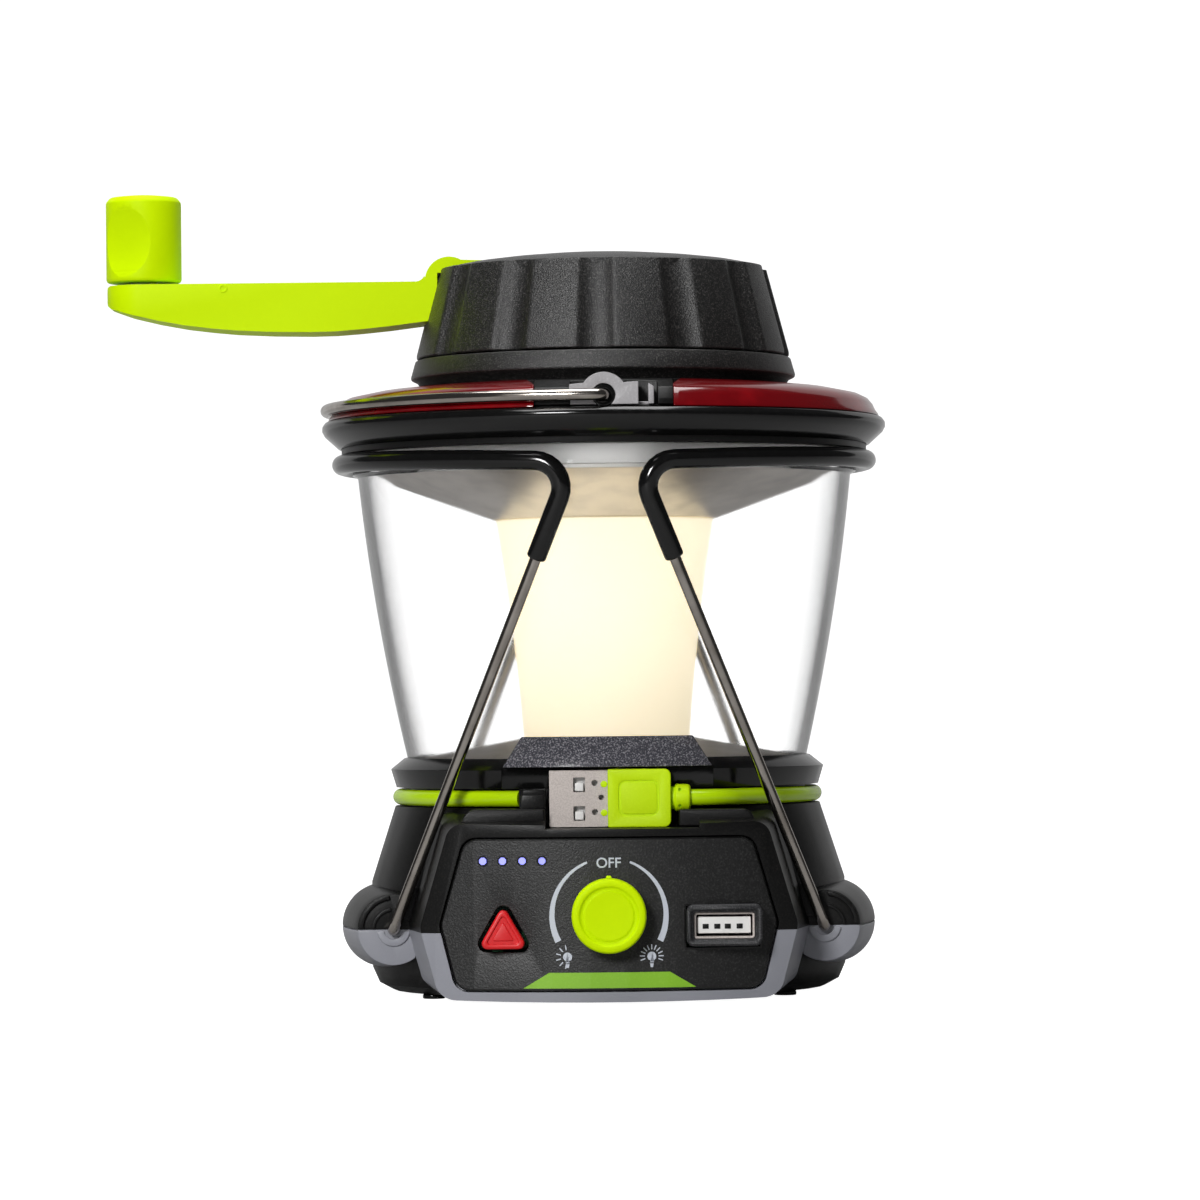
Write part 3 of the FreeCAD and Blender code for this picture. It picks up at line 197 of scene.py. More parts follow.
def lay_down(piece, place, degrees, axis):
    """Turns an upright piece about an axis and puts it in its place."""
    piece.matrix_world = Matrix.Translation(mm(*place)) @ Matrix.Rotation(radians(degrees), 4, axis)
    return settle(piece)


def clean_mesh(piece, outward=True):
    """Merges doubles and points the faces outwards."""
    choose(piece)
    enter_edit()
    bpy.ops.mesh.remove_doubles(threshold=MERGE_GAP)
    if outward:
        bpy.ops.mesh.normals_make_consistent(inside=False)
    leave_edit()
    return piece


def soften_edges(piece, width, segments=3, angle=30, smooth=35):
    """Rounds the sharp edges with an applied bevel and smooths the shading."""
    choose(piece)
    if width:
        bevel = piece.modifiers.new("soft_edges", "BEVEL")
        bevel.width = width * MM
        bevel.segments = segments
        bevel.limit_method = "ANGLE"
        bevel.angle_limit = radians(angle)
        bpy.ops.object.modifier_apply(modifier=bevel.name)
    bpy.ops.object.shade_smooth_by_angle(angle=radians(smooth))
    return piece


def carve(piece, cutter, operation="DIFFERENCE"):
    """Takes the cutter's shape out of the piece, or keeps what both share, and removes the cutter."""
    choose(piece)
    cavity = piece.modifiers.new("cavity", "BOOLEAN")
    cavity.operation = operation
    cavity.solver = "EXACT"
    cavity.object = cutter
    bpy.ops.object.modifier_apply(modifier=cavity.name)
    bpy.data.objects.remove(cutter, do_unlink=True)
    return piece


def bar_cutter(radius, length, place, turn=(0, 0, 0), sides=96):
    deselect_all()
    bpy.ops.mesh.primitive_cylinder_add(
        vertices=sides, radius=radius * MM, depth=length * MM, location=mm(*place), rotation=turn
    )
    return settle(bpy.context.object)


def drill(piece, *shape, **more):
    """Takes a round bar's shape out of the piece."""
    return carve(piece, bar_cutter(*shape, **more))


def cut_block(piece, corners, front, back):
    """Takes an outline's shape out of the piece between two depths."""
    return carve(piece, drawn_block("cutter", corners, front, back, 0))


def copy_from_frame(node, name, width):
    """Copy of a frame node with its triangles joined into flat faces and its edges rounded."""
    mesh = frame["nodes"][node].data.copy()
    piece = bpy.data.objects.new(name, mesh)
    mesh.name = name
    bpy.context.collection.objects.link(piece)
    mesh.materials.clear()
    clean_mesh(piece, outward=False)
    enter_edit()
    bpy.ops.mesh.dissolve_limited(angle_limit=radians(FLAT_ANGLE))
    leave_edit()
    return soften_edges(piece, width)


def turned_piece(name, outline, steps=128, centre=(0, 0), width=0.0, smooth=35):
    """Closed outline of (radius, height) extruded point by point and spun round an upright axis."""
    lone_vertex(mm(outline[0][0], 0, outline[0][1]))
    for near, far in zip(outline, outline[1:] + outline[:1]):
        move = mm(far[0] - near[0], 0, far[1] - near[1])
        extrude(move)
    bpy.ops.mesh.select_all(action="SELECT")
    bpy.ops.mesh.remove_doubles(threshold=MERGE_GAP)
    bpy.ops.mesh.spin(steps=steps, angle=2 * pi, center=(0, 0, 0), axis=(0, 0, 1))
    piece = name_piece(name)
    clean_mesh(piece)
    piece.location += mm(centre[0], centre[1], 0)
    settle(piece)
    return soften_edges(piece, width, smooth=smooth)


def rectangle(left, low, right, high):
    return [(left, low), (right, low), (right, high), (left, high)]


def rounded_box(left, low, right, high, radius):
    return rounded_corners(rectangle(left, low, right, high), radius)


def rounded_corners(corners, radius, steps=5):
    """Outline of flat corners with each corner turned into an arc; radius is one number or one for each."""
    radii = radius if isinstance(radius, (list, tuple)) else [radius] * len(corners)
    outline = []
    for i, corner in enumerate(corners):
        here = Vector(corner)
        before = (Vector(corners[i - 1]) - here).normalized()
        after = (Vector(corners[(i + 1) % len(corners)]) - here).normalized()
        half = before.angle(after) / 2
        if radii[i] < 0.01:
            outline.append(tuple(here))
            continue
        centre = here + (before + after).normalized() * radii[i] / sin(half)
        start = here + before * radii[i] / tan(half) - centre
        stop = here + after * radii[i] / tan(half) - centre
        turn = start.angle_signed(stop)
        for step in range(steps + 1):
            angle = atan2(start.y, start.x) - turn * step / steps
            outline.append((centre.x + radii[i] * cos(angle), centre.y + radii[i] * sin(angle)))
    return outline


def arc_band(centre, inner, outer, start, stop, steps=24):
    """Outline of a flat band between two radii; angles in degrees from the first axis."""
    turns = [radians(start + (stop - start) * i / steps) for i in range(steps + 1)]
    near = [(centre[0] + inner * cos(t), centre[1] + inner * sin(t)) for t in turns]
    far = [(centre[0] + outer * cos(t), centre[1] + outer * sin(t)) for t in turns]
    return near + far[::-1]


def lone_vertex(place):
    """Plane merged to the single point that an outline is extruded from, left in edit mode."""
    deselect_all()
    bpy.ops.mesh.primitive_plane_add(size=0.001, location=place)
    bpy.ops.object.transform_apply(location=True)
    enter_edit("VERT")
    bpy.ops.mesh.merge(type="CENTER")


def drawn_sheet(name, corners, spot):
    """Flat face drawn corner by corner; spot turns a corner's two numbers into a place."""
    places = [spot(*corner) for corner in corners]
    lone_vertex(places[0])
    for near, far in zip(places, places[1:]):
        extrude(far - near)
    bpy.ops.mesh.select_all(action="SELECT")
    bpy.ops.mesh.edge_face_add()
    leave_edit()
    return name_piece(name)


def drawn_block(name, corners, front, back, width, segments=3, axis="Y"):
    """Outline extruded from front to back along an axis, its edges rounded."""
    upright = axis == "Z"
    piece = drawn_sheet(name, corners, lambda a, b: mm(a, b, front) if upright else mm(a, front, b))
    enter_edit("FACE")
    extrude(mm(0, 0, back - front) if upright else mm(0, back - front, 0))
    leave_edit()
    return soften_edges(clean_mesh(piece), width, segments)


def join_pieces(name, pieces):
    choose(pieces[0])
    for piece in pieces[1:]:
        piece.select_set(True)
    bpy.ops.object.join()
    return name_piece(name)


def cut_away(piece, place, normal):
    """Cuts the piece by a plane and closes it; what lies against the normal goes."""
    choose(piece)
    enter_edit()
    bpy.ops.mesh.bisect(plane_co=mm(*place), plane_no=normal, clear_inner=True, use_fill=True)
    leave_edit()
    return piece


def bent_rod(name, radius, start, moves, sides=20, width=0.0):
    """Rod from a round section, extruded along straight runs and spun round the centre of each bend."""
    deselect_all()
    start = Vector(start)
    turn = (Vector(moves[0][1]) - start).normalized().to_track_quat("Z", "Y").to_euler()
    bpy.ops.mesh.primitive_circle_add(
        vertices=sides, radius=radius * MM, fill_type="NOTHING", location=mm(*start), rotation=turn
    )
    settle(bpy.context.object)
    enter_edit()
    here = start
    for kind, *facts in moves:
        if kind == "to":
            goal = Vector(facts[0])
            extrude(mm(*(goal - here)))
            here = goal
        else:
            centre, axis, angle, steps = facts
            bpy.ops.mesh.spin(steps=steps, angle=-angle, center=mm(*centre), axis=axis)
            here = Matrix.Rotation(angle, 3, Vector(axis)) @ (here - Vector(centre)) + Vector(centre)
    pick("EDGE", lambda edge: len(edge.link_faces) == 1)
    bpy.ops.mesh.fill_holes(sides=0)
    piece = clean_mesh(name_piece(name))
    return soften_edges(piece, width, 3, 50, 40)


def bend_at(before, corner, after, radius):
    """Straight run to a corner's bend and the bend itself, as moves for bent_rod."""
    before, corner, after = Vector(before), Vector(corner), Vector(after)
    back = (before - corner).normalized()
    ahead = (after - corner).normalized()
    half = back.angle(ahead) / 2
    reach = radius / tan(half)
    centre = corner + (back + ahead).normalized() * radius / sin(half)
    axis = (-back).cross(ahead).normalized()
    return [("to", corner + back * reach), ("round", centre, axis, pi - 2 * half, 8)]


def arc_centre(a, b, c):
    """Centre and axis of the circle through three points."""
    ab, ac = b - a, c - a
    across = ab.cross(ac)
    reach = across.cross(ab) * ac.length_squared + ac.cross(across) * ab.length_squared
    return a + reach / (2 * across.length_squared), across.normalized()


def arc_points(low, middle, high, count):
    """Points of (radius, height) on the arc through three points."""
    a, b, c = (Vector((*point, 0)) for point in (low, middle, high))
    centre = arc_centre(a, b, c)[0]
    turn = (a - centre).xy.angle_signed((c - centre).xy)
    places = [centre + Matrix.Rotation(-turn * i / count, 3, "Z") @ (a - centre) for i in range(count + 1)]
    return [(place.x, place.y) for place in places]


def finish(piece, slot, *nodes, body="housing"):
    """Clears the piece of slivers and gives it its material, its body and the frame nodes it stands for."""
    choose(piece)
    enter_edit()
    bpy.ops.mesh.remove_doubles(threshold=SLIVER_GAP)
    bpy.ops.mesh.dissolve_degenerate(threshold=SLIVER_GAP)
    bpy.ops.mesh.select_all(action="SELECT")
    bpy.ops.mesh.delete_loose()
    leave_edit()
    piece.data.materials.clear()
    piece.data.materials.append(FINISHES[slot])
    slot = RECORD_NAMES.get(slot, slot)
    if nodes:
        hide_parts(*nodes)
    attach(piece, body)
    return piece


def mould(node, width, slot):
    """Copy of a housing node with rounded edges, in its material."""
    return finish(copy_from_frame(node, f"{node}_moulding", width), slot, node)


# Materials


def node_adder(tree):
    """Function that adds a shader node to the tree and sets or links its inputs."""

    def add(kind, inputs=None, operation=None):
        node = tree.nodes.new("ShaderNode" + kind)
        if operation:
            node.operation = operation
        if kind == "Mix":
            node.data_type = "RGBA"
        for label, value in (inputs or {}).items():
            if isinstance(value, bpy.types.NodeSocket):
                tree.links.new(value, node.inputs[label])
            else:
                node.inputs[label].default_value = value
        return node

    return add


def new_group(name, values):
    """Shader node group with an input for each value and the outputs of a surface."""
    group = bpy.data.node_groups.new(name, "ShaderNodeTree")
    for label, value in values.items():
        kind = "NodeSocketColor" if isinstance(value, tuple) else "NodeSocketFloat"
        group.interface.new_socket(name=label, in_out="INPUT", socket_type=kind).default_value = value
    for label, kind in (("Color", "Color"), ("Roughness", "Float"), ("Normal", "Vector")):
        group.interface.new_socket(name=label, in_out="OUTPUT", socket_type="NodeSocket" + kind)
    return group, group.nodes.new("NodeGroupInput").outputs, group.nodes.new("NodeGroupOutput").inputs


def second_colour(add, given, labels, detail, low, high):
    """Mixes a second colour in by noise; returns the place, the noise, its spread and the mixed colour."""
    size, amount, colour = labels
    place = add("TexCoord").outputs["Object"]
    per_metre = add("Math", {0: 1000, 1: given[size]}, "DIVIDE").outputs[0]
    noise = add("TexNoise", {"Detail": detail, "Vector": place, "Scale": per_metre}).outputs["Fac"]
    spread = add("MapRange", {"From Min": low, "From Max": high, "Value": noise}).outputs["Result"]
    share = add("Math", {0: spread, 1: given[amount]}, "MULTIPLY").outputs[0]
    mix = add("Mix", {"Factor": share, "A": given["Color"], "B": given[colour]})
    return place, noise, spread, mix.outputs["Result"]


def close_group(group, out, colour, roughness, bump):
    """Links the group's colour, roughness and bump to its outputs."""
    group.links.new(colour, out["Color"])
    group.links.new(roughness.outputs[0], out["Roughness"])
    group.links.new(bump.outputs["Normal"], out["Normal"])
    return group


def moulded_grain_group():
    """Grain of moulded plastic: pale specks, uneven gloss and a fine bump."""
    values = {
        "Color": (0.02, 0.02, 0.02, 1), "Speck Color": (0.1, 0.1, 0.1, 1), "Specks": 0.3, "Size": 0.6,
        "Roughness": 0.4, "Depth": 0.3,
    }
    group, given, out = new_group("moulded_grain", values)
    add = node_adder(group)
    place, fine, _, colour = second_colour(add, given, ("Size", "Specks", "Speck Color"), 3, 0.5, 0.8)
    broad = add("TexNoise", {"Scale": 45, "Detail": 4, "Vector": place})
    swing = add("MapRange", {"To Min": -0.07, "To Max": 0.09, "Value": broad.outputs["Fac"]})
    uneven = add("Math", {0: given["Roughness"], 1: swing.outputs["Result"]}, "ADD")
    bump = add("Bump", {"Distance": 0.0001, "Height": fine, "Strength": given["Depth"]})
    return close_group(group, out, colour, uneven, bump)


def drawn_metal_group():
    """Drawn or plated metal: soft blotches, uneven gloss and fine scratches along one axis."""
    values = {
        "Color": (0.7, 0.7, 0.7, 1), "Stain": (0.4, 0.38, 0.35, 1), "Stained": 0.3, "Stain Size": 3.0,
        "Roughness": 0.2, "Scratches": 0.2,
    }
    group, given, out = new_group("drawn_metal", values)
    add = node_adder(group)
    place, _, spread, colour = second_colour(add, given, ("Stain Size", "Stained", "Stain"), 5, 0.4, 0.7)
    rough = add("Math", {0: spread, 1: 0.12, 2: given["Roughness"]}, "MULTIPLY_ADD")
    lines = add("Mapping", {"Scale": (60, 1800, 1800), "Vector": place})
    scratch = add("TexNoise", {"Scale": 1.0, "Detail": 2, "Vector": lines.outputs["Vector"]})
    bump = {"Distance": 0.00005, "Height": scratch.outputs["Fac"], "Strength": given["Scratches"]}
    return close_group(group, out, colour, rough, add("Bump", bump))


GRAIN = moulded_grain_group()
METAL = drawn_metal_group()


def material_with(name, group, values, sockets):
    """Principled material fed by one group; values go to the group in order, sockets to the shader."""
    material = bpy.data.materials.new(name)
    material.use_nodes = True
    tree = material.node_tree
    shader = tree.nodes["Principled BSDF"]
    source = tree.nodes.new("ShaderNodeGroup")
    source.node_tree = group
    targets = list(zip(source.inputs, values))
    targets += [(shader.inputs[label], value) for label, value in sockets.items()]
    for socket, value in targets:
        socket.default_value = (*value, 1) if isinstance(value, tuple) else value
    for given, taken in (("Color", "Base Color"), ("Roughness", "Roughness"), ("Normal", "Normal")):
        tree.links.new(source.outputs[given], shader.inputs[taken])
    return material


def plastic(name, colour, speck, specks=0.3, size=0.6, roughness=0.4, depth=0.3, specular=0.5):
    values = (colour, speck, specks, size, roughness, depth)
    return material_with(name, GRAIN, values, {"Specular IOR Level": specular})


def metal(name, colour, stain, stained=0.3, size=3.0, roughness=0.2, scratches=0.2):
    values = (colour, stain, stained, size, roughness, scratches)
    return material_with(name, METAL, values, {"Metallic": 1.0})


def make_finishes():
    return {
        "black_plastic": plastic(
            "satin_black_housing", (0.004, 0.004, 0.004), (0.035, 0.033, 0.030), 0.35, 0.35, 0.36, 0.35, 0.22
        ),
        "panel_plastic": plastic(
            "grained_black_panel", (0.005, 0.005, 0.005), (0.07, 0.07, 0.07), 0.55, 0.40, 0.45, 0.9
        ),
        "grey_rubber": plastic(
            "blue_grey_bumper", (0.28, 0.285, 0.32), (0.34, 0.34, 0.38), 0.2, 0.5, 0.36, 0.15
        ),
        "black_rubber": plastic(
            "dipped_black_rubber", (0.004, 0.004, 0.004), (0.02, 0.02, 0.02), 0.2, 1.5, 0.13, 0.1
        ),
        "bracket_grey": plastic(
            "pale_grey_bracket", (0.36, 0.35, 0.36), (0.55, 0.54, 0.55), 0.6, 0.5, 0.4, 0.4
        ),
        "lime_plastic": plastic(
            "lime_crank_plastic", (0.60, 0.86, 0.0), (0.66, 0.90, 0.0), 0.3, 0.9, 0.46, 0.2, 0.05
        ),
        "lime_rubber": plastic(
            "lime_soft_rubber", (0.58, 0.84, 0.0), (0.66, 0.92, 0.01), 0.5, 0.5, 0.45, 0.5, 0.2
        ),
        "red_rubber": plastic(
            "red_button_rubber", (0.70, 0.008, 0.012), (0.80, 0.03, 0.03), 0.3, 0.8, 0.38, 0.2
        ),
        "white_plastic": plastic(
            "white_insulator", (0.85, 0.84, 0.82), (0.7, 0.69, 0.66), 0.2, 0.9, 0.35, 0.1
        ),
        "circuit_board": plastic(
            "coated_circuit_board", (0.03, 0.17, 0.07), (0.10, 0.30, 0.12), 0.5, 1.2, 0.35, 0.2
        ),
        "battery_wrap": plastic(
            "blue_cell_sleeve", (0.06, 0.16, 0.36), (0.12, 0.25, 0.48), 0.3, 2.0, 0.25, 0.1
        ),
        "gear_nylon": plastic(
            "milky_gear_nylon", (0.80, 0.78, 0.70), (0.90, 0.88, 0.82), 0.4, 1.5, 0.45, 0.1
        ),
        "magnet_grey": plastic(
            "sintered_magnet", (0.12, 0.12, 0.125), (0.30, 0.30, 0.31), 0.5, 0.5, 0.5, 0.5
        ),
        "print_grey": plastic("pale_grey_print", (0.55, 0.58, 0.66), (0.72, 0.74, 0.80), 0.3, 0.4, 0.5, 0.2),
        "label_green": plastic("green_label", (0.24, 0.52, 0.02), (0.34, 0.62, 0.05), 0.4, 0.4, 0.45, 0.2),
        "steel_wire": metal("plated_wire", (0.50, 0.46, 0.42), (0.20, 0.17, 0.14), 0.5, 6.0, 0.10, 0.1),
        "plug_metal": metal("plug_tinplate", (0.56, 0.51, 0.48), (0.40, 0.36, 0.34), 0.5, 0.3, 0.56, 0.3),
        "shaft_steel": metal("ground_shaft", (0.60, 0.60, 0.62), (0.40, 0.38, 0.36), 0.3, 3.0, 0.25, 0.4),
        "cap_plastic": plastic(
            "grained_cap_plastic", (0.006, 0.006, 0.006), (0.20, 0.19, 0.18), 0.5, 0.30, 0.36, 1.6, 0.55
        ),
        "frame_rubber": plastic(
            "socket_frame_rubber", (0.02, 0.02, 0.022), (0.16, 0.16, 0.17), 0.6, 0.3, 0.5, 1.0, 0.5
        ),
        "polished_plastic": plastic(
            "polished_black_plastic", (0.003, 0.003, 0.003), (0.015, 0.015, 0.016), 0.3, 0.6, 0.14, 0.1, 0.45
        ),
        "lime_cable": plastic(
            "lime_cable_jacket", (0.50, 0.78, 0.0), (0.56, 0.84, 0.0), 0.4, 0.8, 0.24, 0.1, 0.5
        ),
        "reflector": metal(
            "silvered_reflector", (0.86, 0.81, 0.76), (0.62, 0.60, 0.60), 0.4, 5.0, 0.30, 0.1
        ),
        "smoky_plastic": plastic(
            "smoky_mirror", (0.05, 0.05, 0.06), (0.55, 0.53, 0.57), 0.8, 0.34, 0.16, 0.3
        ),
        "clear_lens": clear_lens(),
        "frosted_lens": glowing("creamy_diffuser", (0.92, 0.84, 0.66), (1.0, 0.86, 0.58), 0.62, 0.5),
        "red_lens": red_lens(),
        "light_white": glowing("warm_light_chip", (0.95, 0.93, 0.8), (1.0, 0.95, 0.8), 1.5, 0.3),
        "level_light": glowing("violet_level_light", (0.25, 0.25, 0.9), (0.30, 0.32, 1.0), 1.0, 0.3),
    }


def clear_lens():
    """Clear plastic whose colour is darkened where the wall is seen edge on: painted shade, tinted violet and
    brown, for the dark edges that refraction gives.
    """
    material = plastic("clear_lens_plastic", (1.0, 1.0, 1.0), (0.97, 0.98, 1.0), 0.2, 8.0, 0.06, 0.0)
    tree = material.node_tree
    add, shader = node_adder(tree), tree.nodes["Principled BSDF"]
    shader.inputs["Transmission Weight"].default_value = 1.0
    shader.inputs["IOR"].default_value = 1.49
    grain = next(node for node in tree.nodes if node.type == "GROUP")
    # Painted shade: the colour darkens towards grazing view, through violet and brown, in place of the wall's
    # dark refracted edges.
    edge_on_painted_shade = add("ValToRGB", {"Fac": add("LayerWeight", {"Blend": 0.5}).outputs["Facing"]})
    ramp = edge_on_painted_shade.color_ramp
    ramp.elements[0].color = (1, 1, 1, 1)
    ramp.elements[1].color = (0.30, 0.24, 0.20, 1)
    for position, colour in ((0.89, (1, 1, 1)), (0.93, (0.80, 0.78, 0.90)), (0.965, (0.40, 0.34, 0.38))):
        ramp.elements.new(position).color = (*colour, 1)
    painted_shade_tint = add("Mix", {"Factor": 1.0, "A": grain.outputs["Color"], "B": edge_on_painted_shade.outputs["Color"]})
    painted_shade_tint.blend_type = "MULTIPLY"
    tree.links.new(painted_shade_tint.outputs["Result"], shader.inputs["Base Color"])
    return material


def red_lens():
    material = plastic("red_window_plastic", (0.13, 0, 0.002), (0.36, 0.003, 0.007), 0.55, 11.0, 0.13, 0.05)
    material.node_tree.nodes["Principled BSDF"].inputs["Coat Weight"].default_value = 0.3
    return material


def glowing(name, colour, light, strength, roughness):
    material = plastic(name, colour, tuple(min(1, c * 1.08) for c in colour), 0.3, 2.0, roughness, 0.1)
    shader = material.node_tree.nodes["Principled BSDF"]
    shader.inputs["Emission Color"].default_value = (*light, 1)
    shader.inputs["Emission Strength"].default_value = strength
    return material


FINISHES = make_finishes()
RECORD_NAMES = {
    "cap_plastic": "black_plastic", "polished_plastic": "black_plastic", "lime_cable": "lime_rubber",
    "frame_rubber": "black_rubber",
}


def dress_frame():
    """Gives every frame node the worked-out material of its slot."""
    for part in frame["record"]["subparts"]:
        piece = frame["nodes"][part["node"]]
        for material_slot in piece.material_slots:
            material_slot.material = FINISHES[part["material_slot"]]


# Base, bumper and console

EAR_X, EAR_Z = -46.3, 15.2
EAR_FACE = 31.0


def ear_barrel(name):
    """Smooth barrel of the left ear, extruded ring by ring, fuller and further out in the middle."""
    deselect_all()
    face_x, mid_x, face_radius, mid_radius, reach = EAR_X, -49.6, 7.65, 9.0, EAR_FACE + 0.06
    bpy.ops.mesh.primitive_circle_add(
        vertices=72, radius=face_radius * MM, fill_type="NGON", location=mm(face_x, -reach, EAR_Z),
        rotation=ALONG_Y,
    )
    settle(bpy.context.object)
    enter_edit("FACE")
    rings = 16
    for i in range(rings):
        shares = [1 - (2 * k / rings - 1) ** 2 for k in (i, i + 1)]
        xs = [face_x + (mid_x - face_x) * share for share in shares]
        radii = [face_radius + (mid_radius - face_radius) * share for share in shares]
        y = -reach + 2 * reach * (i + 1) / rings
        step = mm(xs[1] - xs[0], 2 * reach / rings, 0)
        extrude(step)
        grow = radii[1] / radii[0]
        bpy.ops.transform.resize(value=(grow, 1, grow), center_override=mm(xs[1], y, EAR_Z))
    leave_edit()
    return clean_mesh(name_piece(name))


def ear_half(name, up):
    """Upper or lower half of the left ear with its bore for the leg's wire."""
    half = cut_away(ear_barrel(name), (0, 0, EAR_Z + 0.12 * up), (0, 0, up))
    drill(half, 1.45, 80, (EAR_X, 0, EAR_Z), ALONG_Y, 32)
    return soften_edges(half, 0.45, 3, 35)


def ear_ribs():
    """Ribs and web on the left ear's front face, above the parting line."""
    centre = (EAR_X, EAR_Z)
    front, back = -EAR_FACE - 0.75, -EAR_FACE + 0.3
    web = rounded_corners([(-44.4, 24.4), (-44.4, 17.0), (-42.2, 17.0), (-39.2, 24.4)], 0.4)
    return [
        drawn_block("outer_rib", arc_band(centre, 6.4, 7.5, 96, 178), front, back, 0.25),
        drawn_block("inner_rib", arc_band(centre, 3.9, 4.7, 96, 178), front + 0.2, back, 0.2),
        drawn_block("ear_web", web, front, -EAR_FACE + 4, 0.3),
    ]


def mirrored_copy(piece, name, x=1, y=1):
    """Copy with its own mesh, mirrored in X or Y."""
    twin = piece.copy()
    twin.data = piece.data.copy()
    bpy.context.collection.objects.link(twin)
    twin.name = twin.data.name = name
    twin.scale = (-1 if x < 0 else 1, -1 if y < 0 else 1, 1)
    return clean_mesh(settle(twin))


def build_ears():
    upper = join_pieces("leg_ear_left_upper", [ear_half("ear_top", 1)] + ear_ribs())
    centre = (EAR_X, EAR_Z)
    crescent = drawn_block(
        "ear_crescent", arc_band(centre, 2.0, 3.6, 186, 354), -EAR_FACE - 0.6, -EAR_FACE + 0.3, 0.3
    )
    lower = join_pieces("leg_ear_left_lower", [ear_half("ear_bottom", -1), crescent])
    for piece, slot, half in ((upper, "black_plastic", "upper"), (lower, "grey_rubber", "lower")):
        twin = mirrored_copy(piece, f"leg_ear_right_{half}", x=-1)
        for ear in (piece, twin):
            finish(ear, slot)


def is_skirt(face):
    """Whether a face of the bumper's copy is on the round lower body or the underside."""
    outward = Vector((face.center.x, face.center.y, 0)).normalized()
    level = Vector((face.normal.x, face.normal.y, 0))
    if face.center.z < 0.0015 and face.normal.z < -0.9:
        return True
    return level.length > 0.3 and level.normalized().dot(outward) > 0.985 and face.center.xy.length < 0.0523


def build_base():
    mould("base_shell", 0.5, "black_plastic")
    bumper = copy_from_frame("base_bumper", "base_bumper_moulding", 0.0)
    skirt = [face.index for face in bumper.data.polygons if is_skirt(face)]
    finish(bumper, "grey_rubber", "base_bumper")
    bumper.data.materials.append(FINISHES["black_plastic"])
    for index in skirt:
        bumper.data.polygons[index].material_index = 1
    soften_edges(bumper, 0.6)
    build_ears()
    mould("rubber_feet", 0.3, "black_rubber")
    mould("globe_seat", 0.4, "polished_plastic")
    mould("ramp_plate", 0.5, "smoky_plastic")


# Globe, diffuser and reflectors


def build_globe():
    outer = arc_points((44.0, 51.7), (50.4, 84.0), (54.3, 113.2), 24)
    inner = [(r - 2.2, z) for r, z in outer]
    globe = outer + [(55.5, 113.9), (55.5, 118.4), (53.3, 118.4)] + inner[::-1]
    finish(turned_piece("lens_globe_clear", globe, 160, smooth=50), "clear_lens", "lens_globe")
    outer = arc_points((18.3, 56.0), (20.6, 80.0), (24.0, 103.8), 16)
    inner = [(r - 1.5, z) for r, z in outer]
    upper = [(24.5, 103.9), (51.0, 113.3), (51.0, 114.0), (24.5, 114.0)]
    lower = [(1.0, 51.75), (40.4, 51.75), (38.5, 52.2), (18.7, 55.9), (1.0, 55.9)]
    for name, outline, steps, slot, *node in (
        ("diffuser_vase", outer + inner[::-1], 96, "frosted_lens", "diffuser"),
        ("upper_reflector_cone", upper, 128, "reflector", "upper_reflector"),
        # The reflector's top wall is white plastic, not silver: painted reflection of the bright light seen
        # there through the globe's flange.
        ("upper_reflector_rim", rectangle(49.0, 114.05, 51.4, 118.3), 128, "white_plastic"),
        ("lower_reflector_cone", lower, 128, "reflector", "lower_reflector"),
    ):
        finish(turned_piece(name, outline, steps, width=0.3), slot, *node)


# Controls


def on_panel(piece, panel):
    """Lays a flat sheet on the curved panel, lifted a little in front of it."""
    choose(piece)
    wrap = piece.modifiers.new("on_panel", "SHRINKWRAP")
    wrap.target = panel
    wrap.wrap_method = "PROJECT"
    wrap.use_project_y = True
    wrap.use_negative_direction = True
    wrap.use_positive_direction = True
    wrap.offset = PRINT_LIFT * MM
    bpy.ops.object.modifier_apply(modifier=wrap.name)
    return piece


def print_sheet(name, corners):
    """Flat print in front of the panel, divided finely enough to follow its curve."""
    piece = drawn_sheet(name, corners, lambda x, z: mm(x, PRINT_Y, z))
    bpy.ops.object.mode_set(mode="EDIT")
    for x in range(-28, 29, 2):
        bpy.ops.mesh.select_all(action="SELECT")
        bpy.ops.mesh.bisect(plane_co=mm(x, 0, 0), plane_no=(1, 0, 0))
    leave_edit()
    return piece


def range_arc(name, side):
    """Printed arc beside the dial that widens from OFF downwards."""
    start, stop, thin, wide, radius, steps = 22, 117, 0.45, 1.35, 12.0, 40
    outer, inner = [], []
    for i in range(steps + 1):
        share = i / steps
        angle = radians(start + (stop - start) * share)
        half = (thin + (wide - thin) * share) / 2
        for line, reach in ((outer, radius + half), (inner, radius - half)):
            line.append((side * reach * sin(angle), DIAL_Z + reach * cos(angle)))
    return print_sheet(name, outer + inner[::-1])


def bulb_icon(name, x, z, rays):
    """Small printed lamp: a bulb, its foot and short rays round it."""
    bulb = arc_band((x, z), 0.0, 0.95, -50, 230, 20)[21:] + [(x - 0.45, z - 1.3), (x + 0.45, z - 1.3)]
    foot = [(x + a, z - b) for a, b in ((-0.4, 1.5), (0.4, 1.5), (0.25, 2.3), (-0.25, 2.3))]
    pieces = [print_sheet(name + "_bulb", bulb), print_sheet(name + "_foot", foot)]
    for i, turn in enumerate(rays):
        along = Vector((cos(radians(turn)), sin(radians(turn))))
        side = Vector((-along.y, along.x)) * 0.12
        near, far = Vector((x, z)) + along * 1.45, Vector((x, z)) + along * 2.5
        corners = [near - side, far - side, far + side, near + side]
        pieces.append(print_sheet(f"{name}_ray_{i + 1}", [tuple(corner) for corner in corners]))
    return join_pieces(name, pieces)


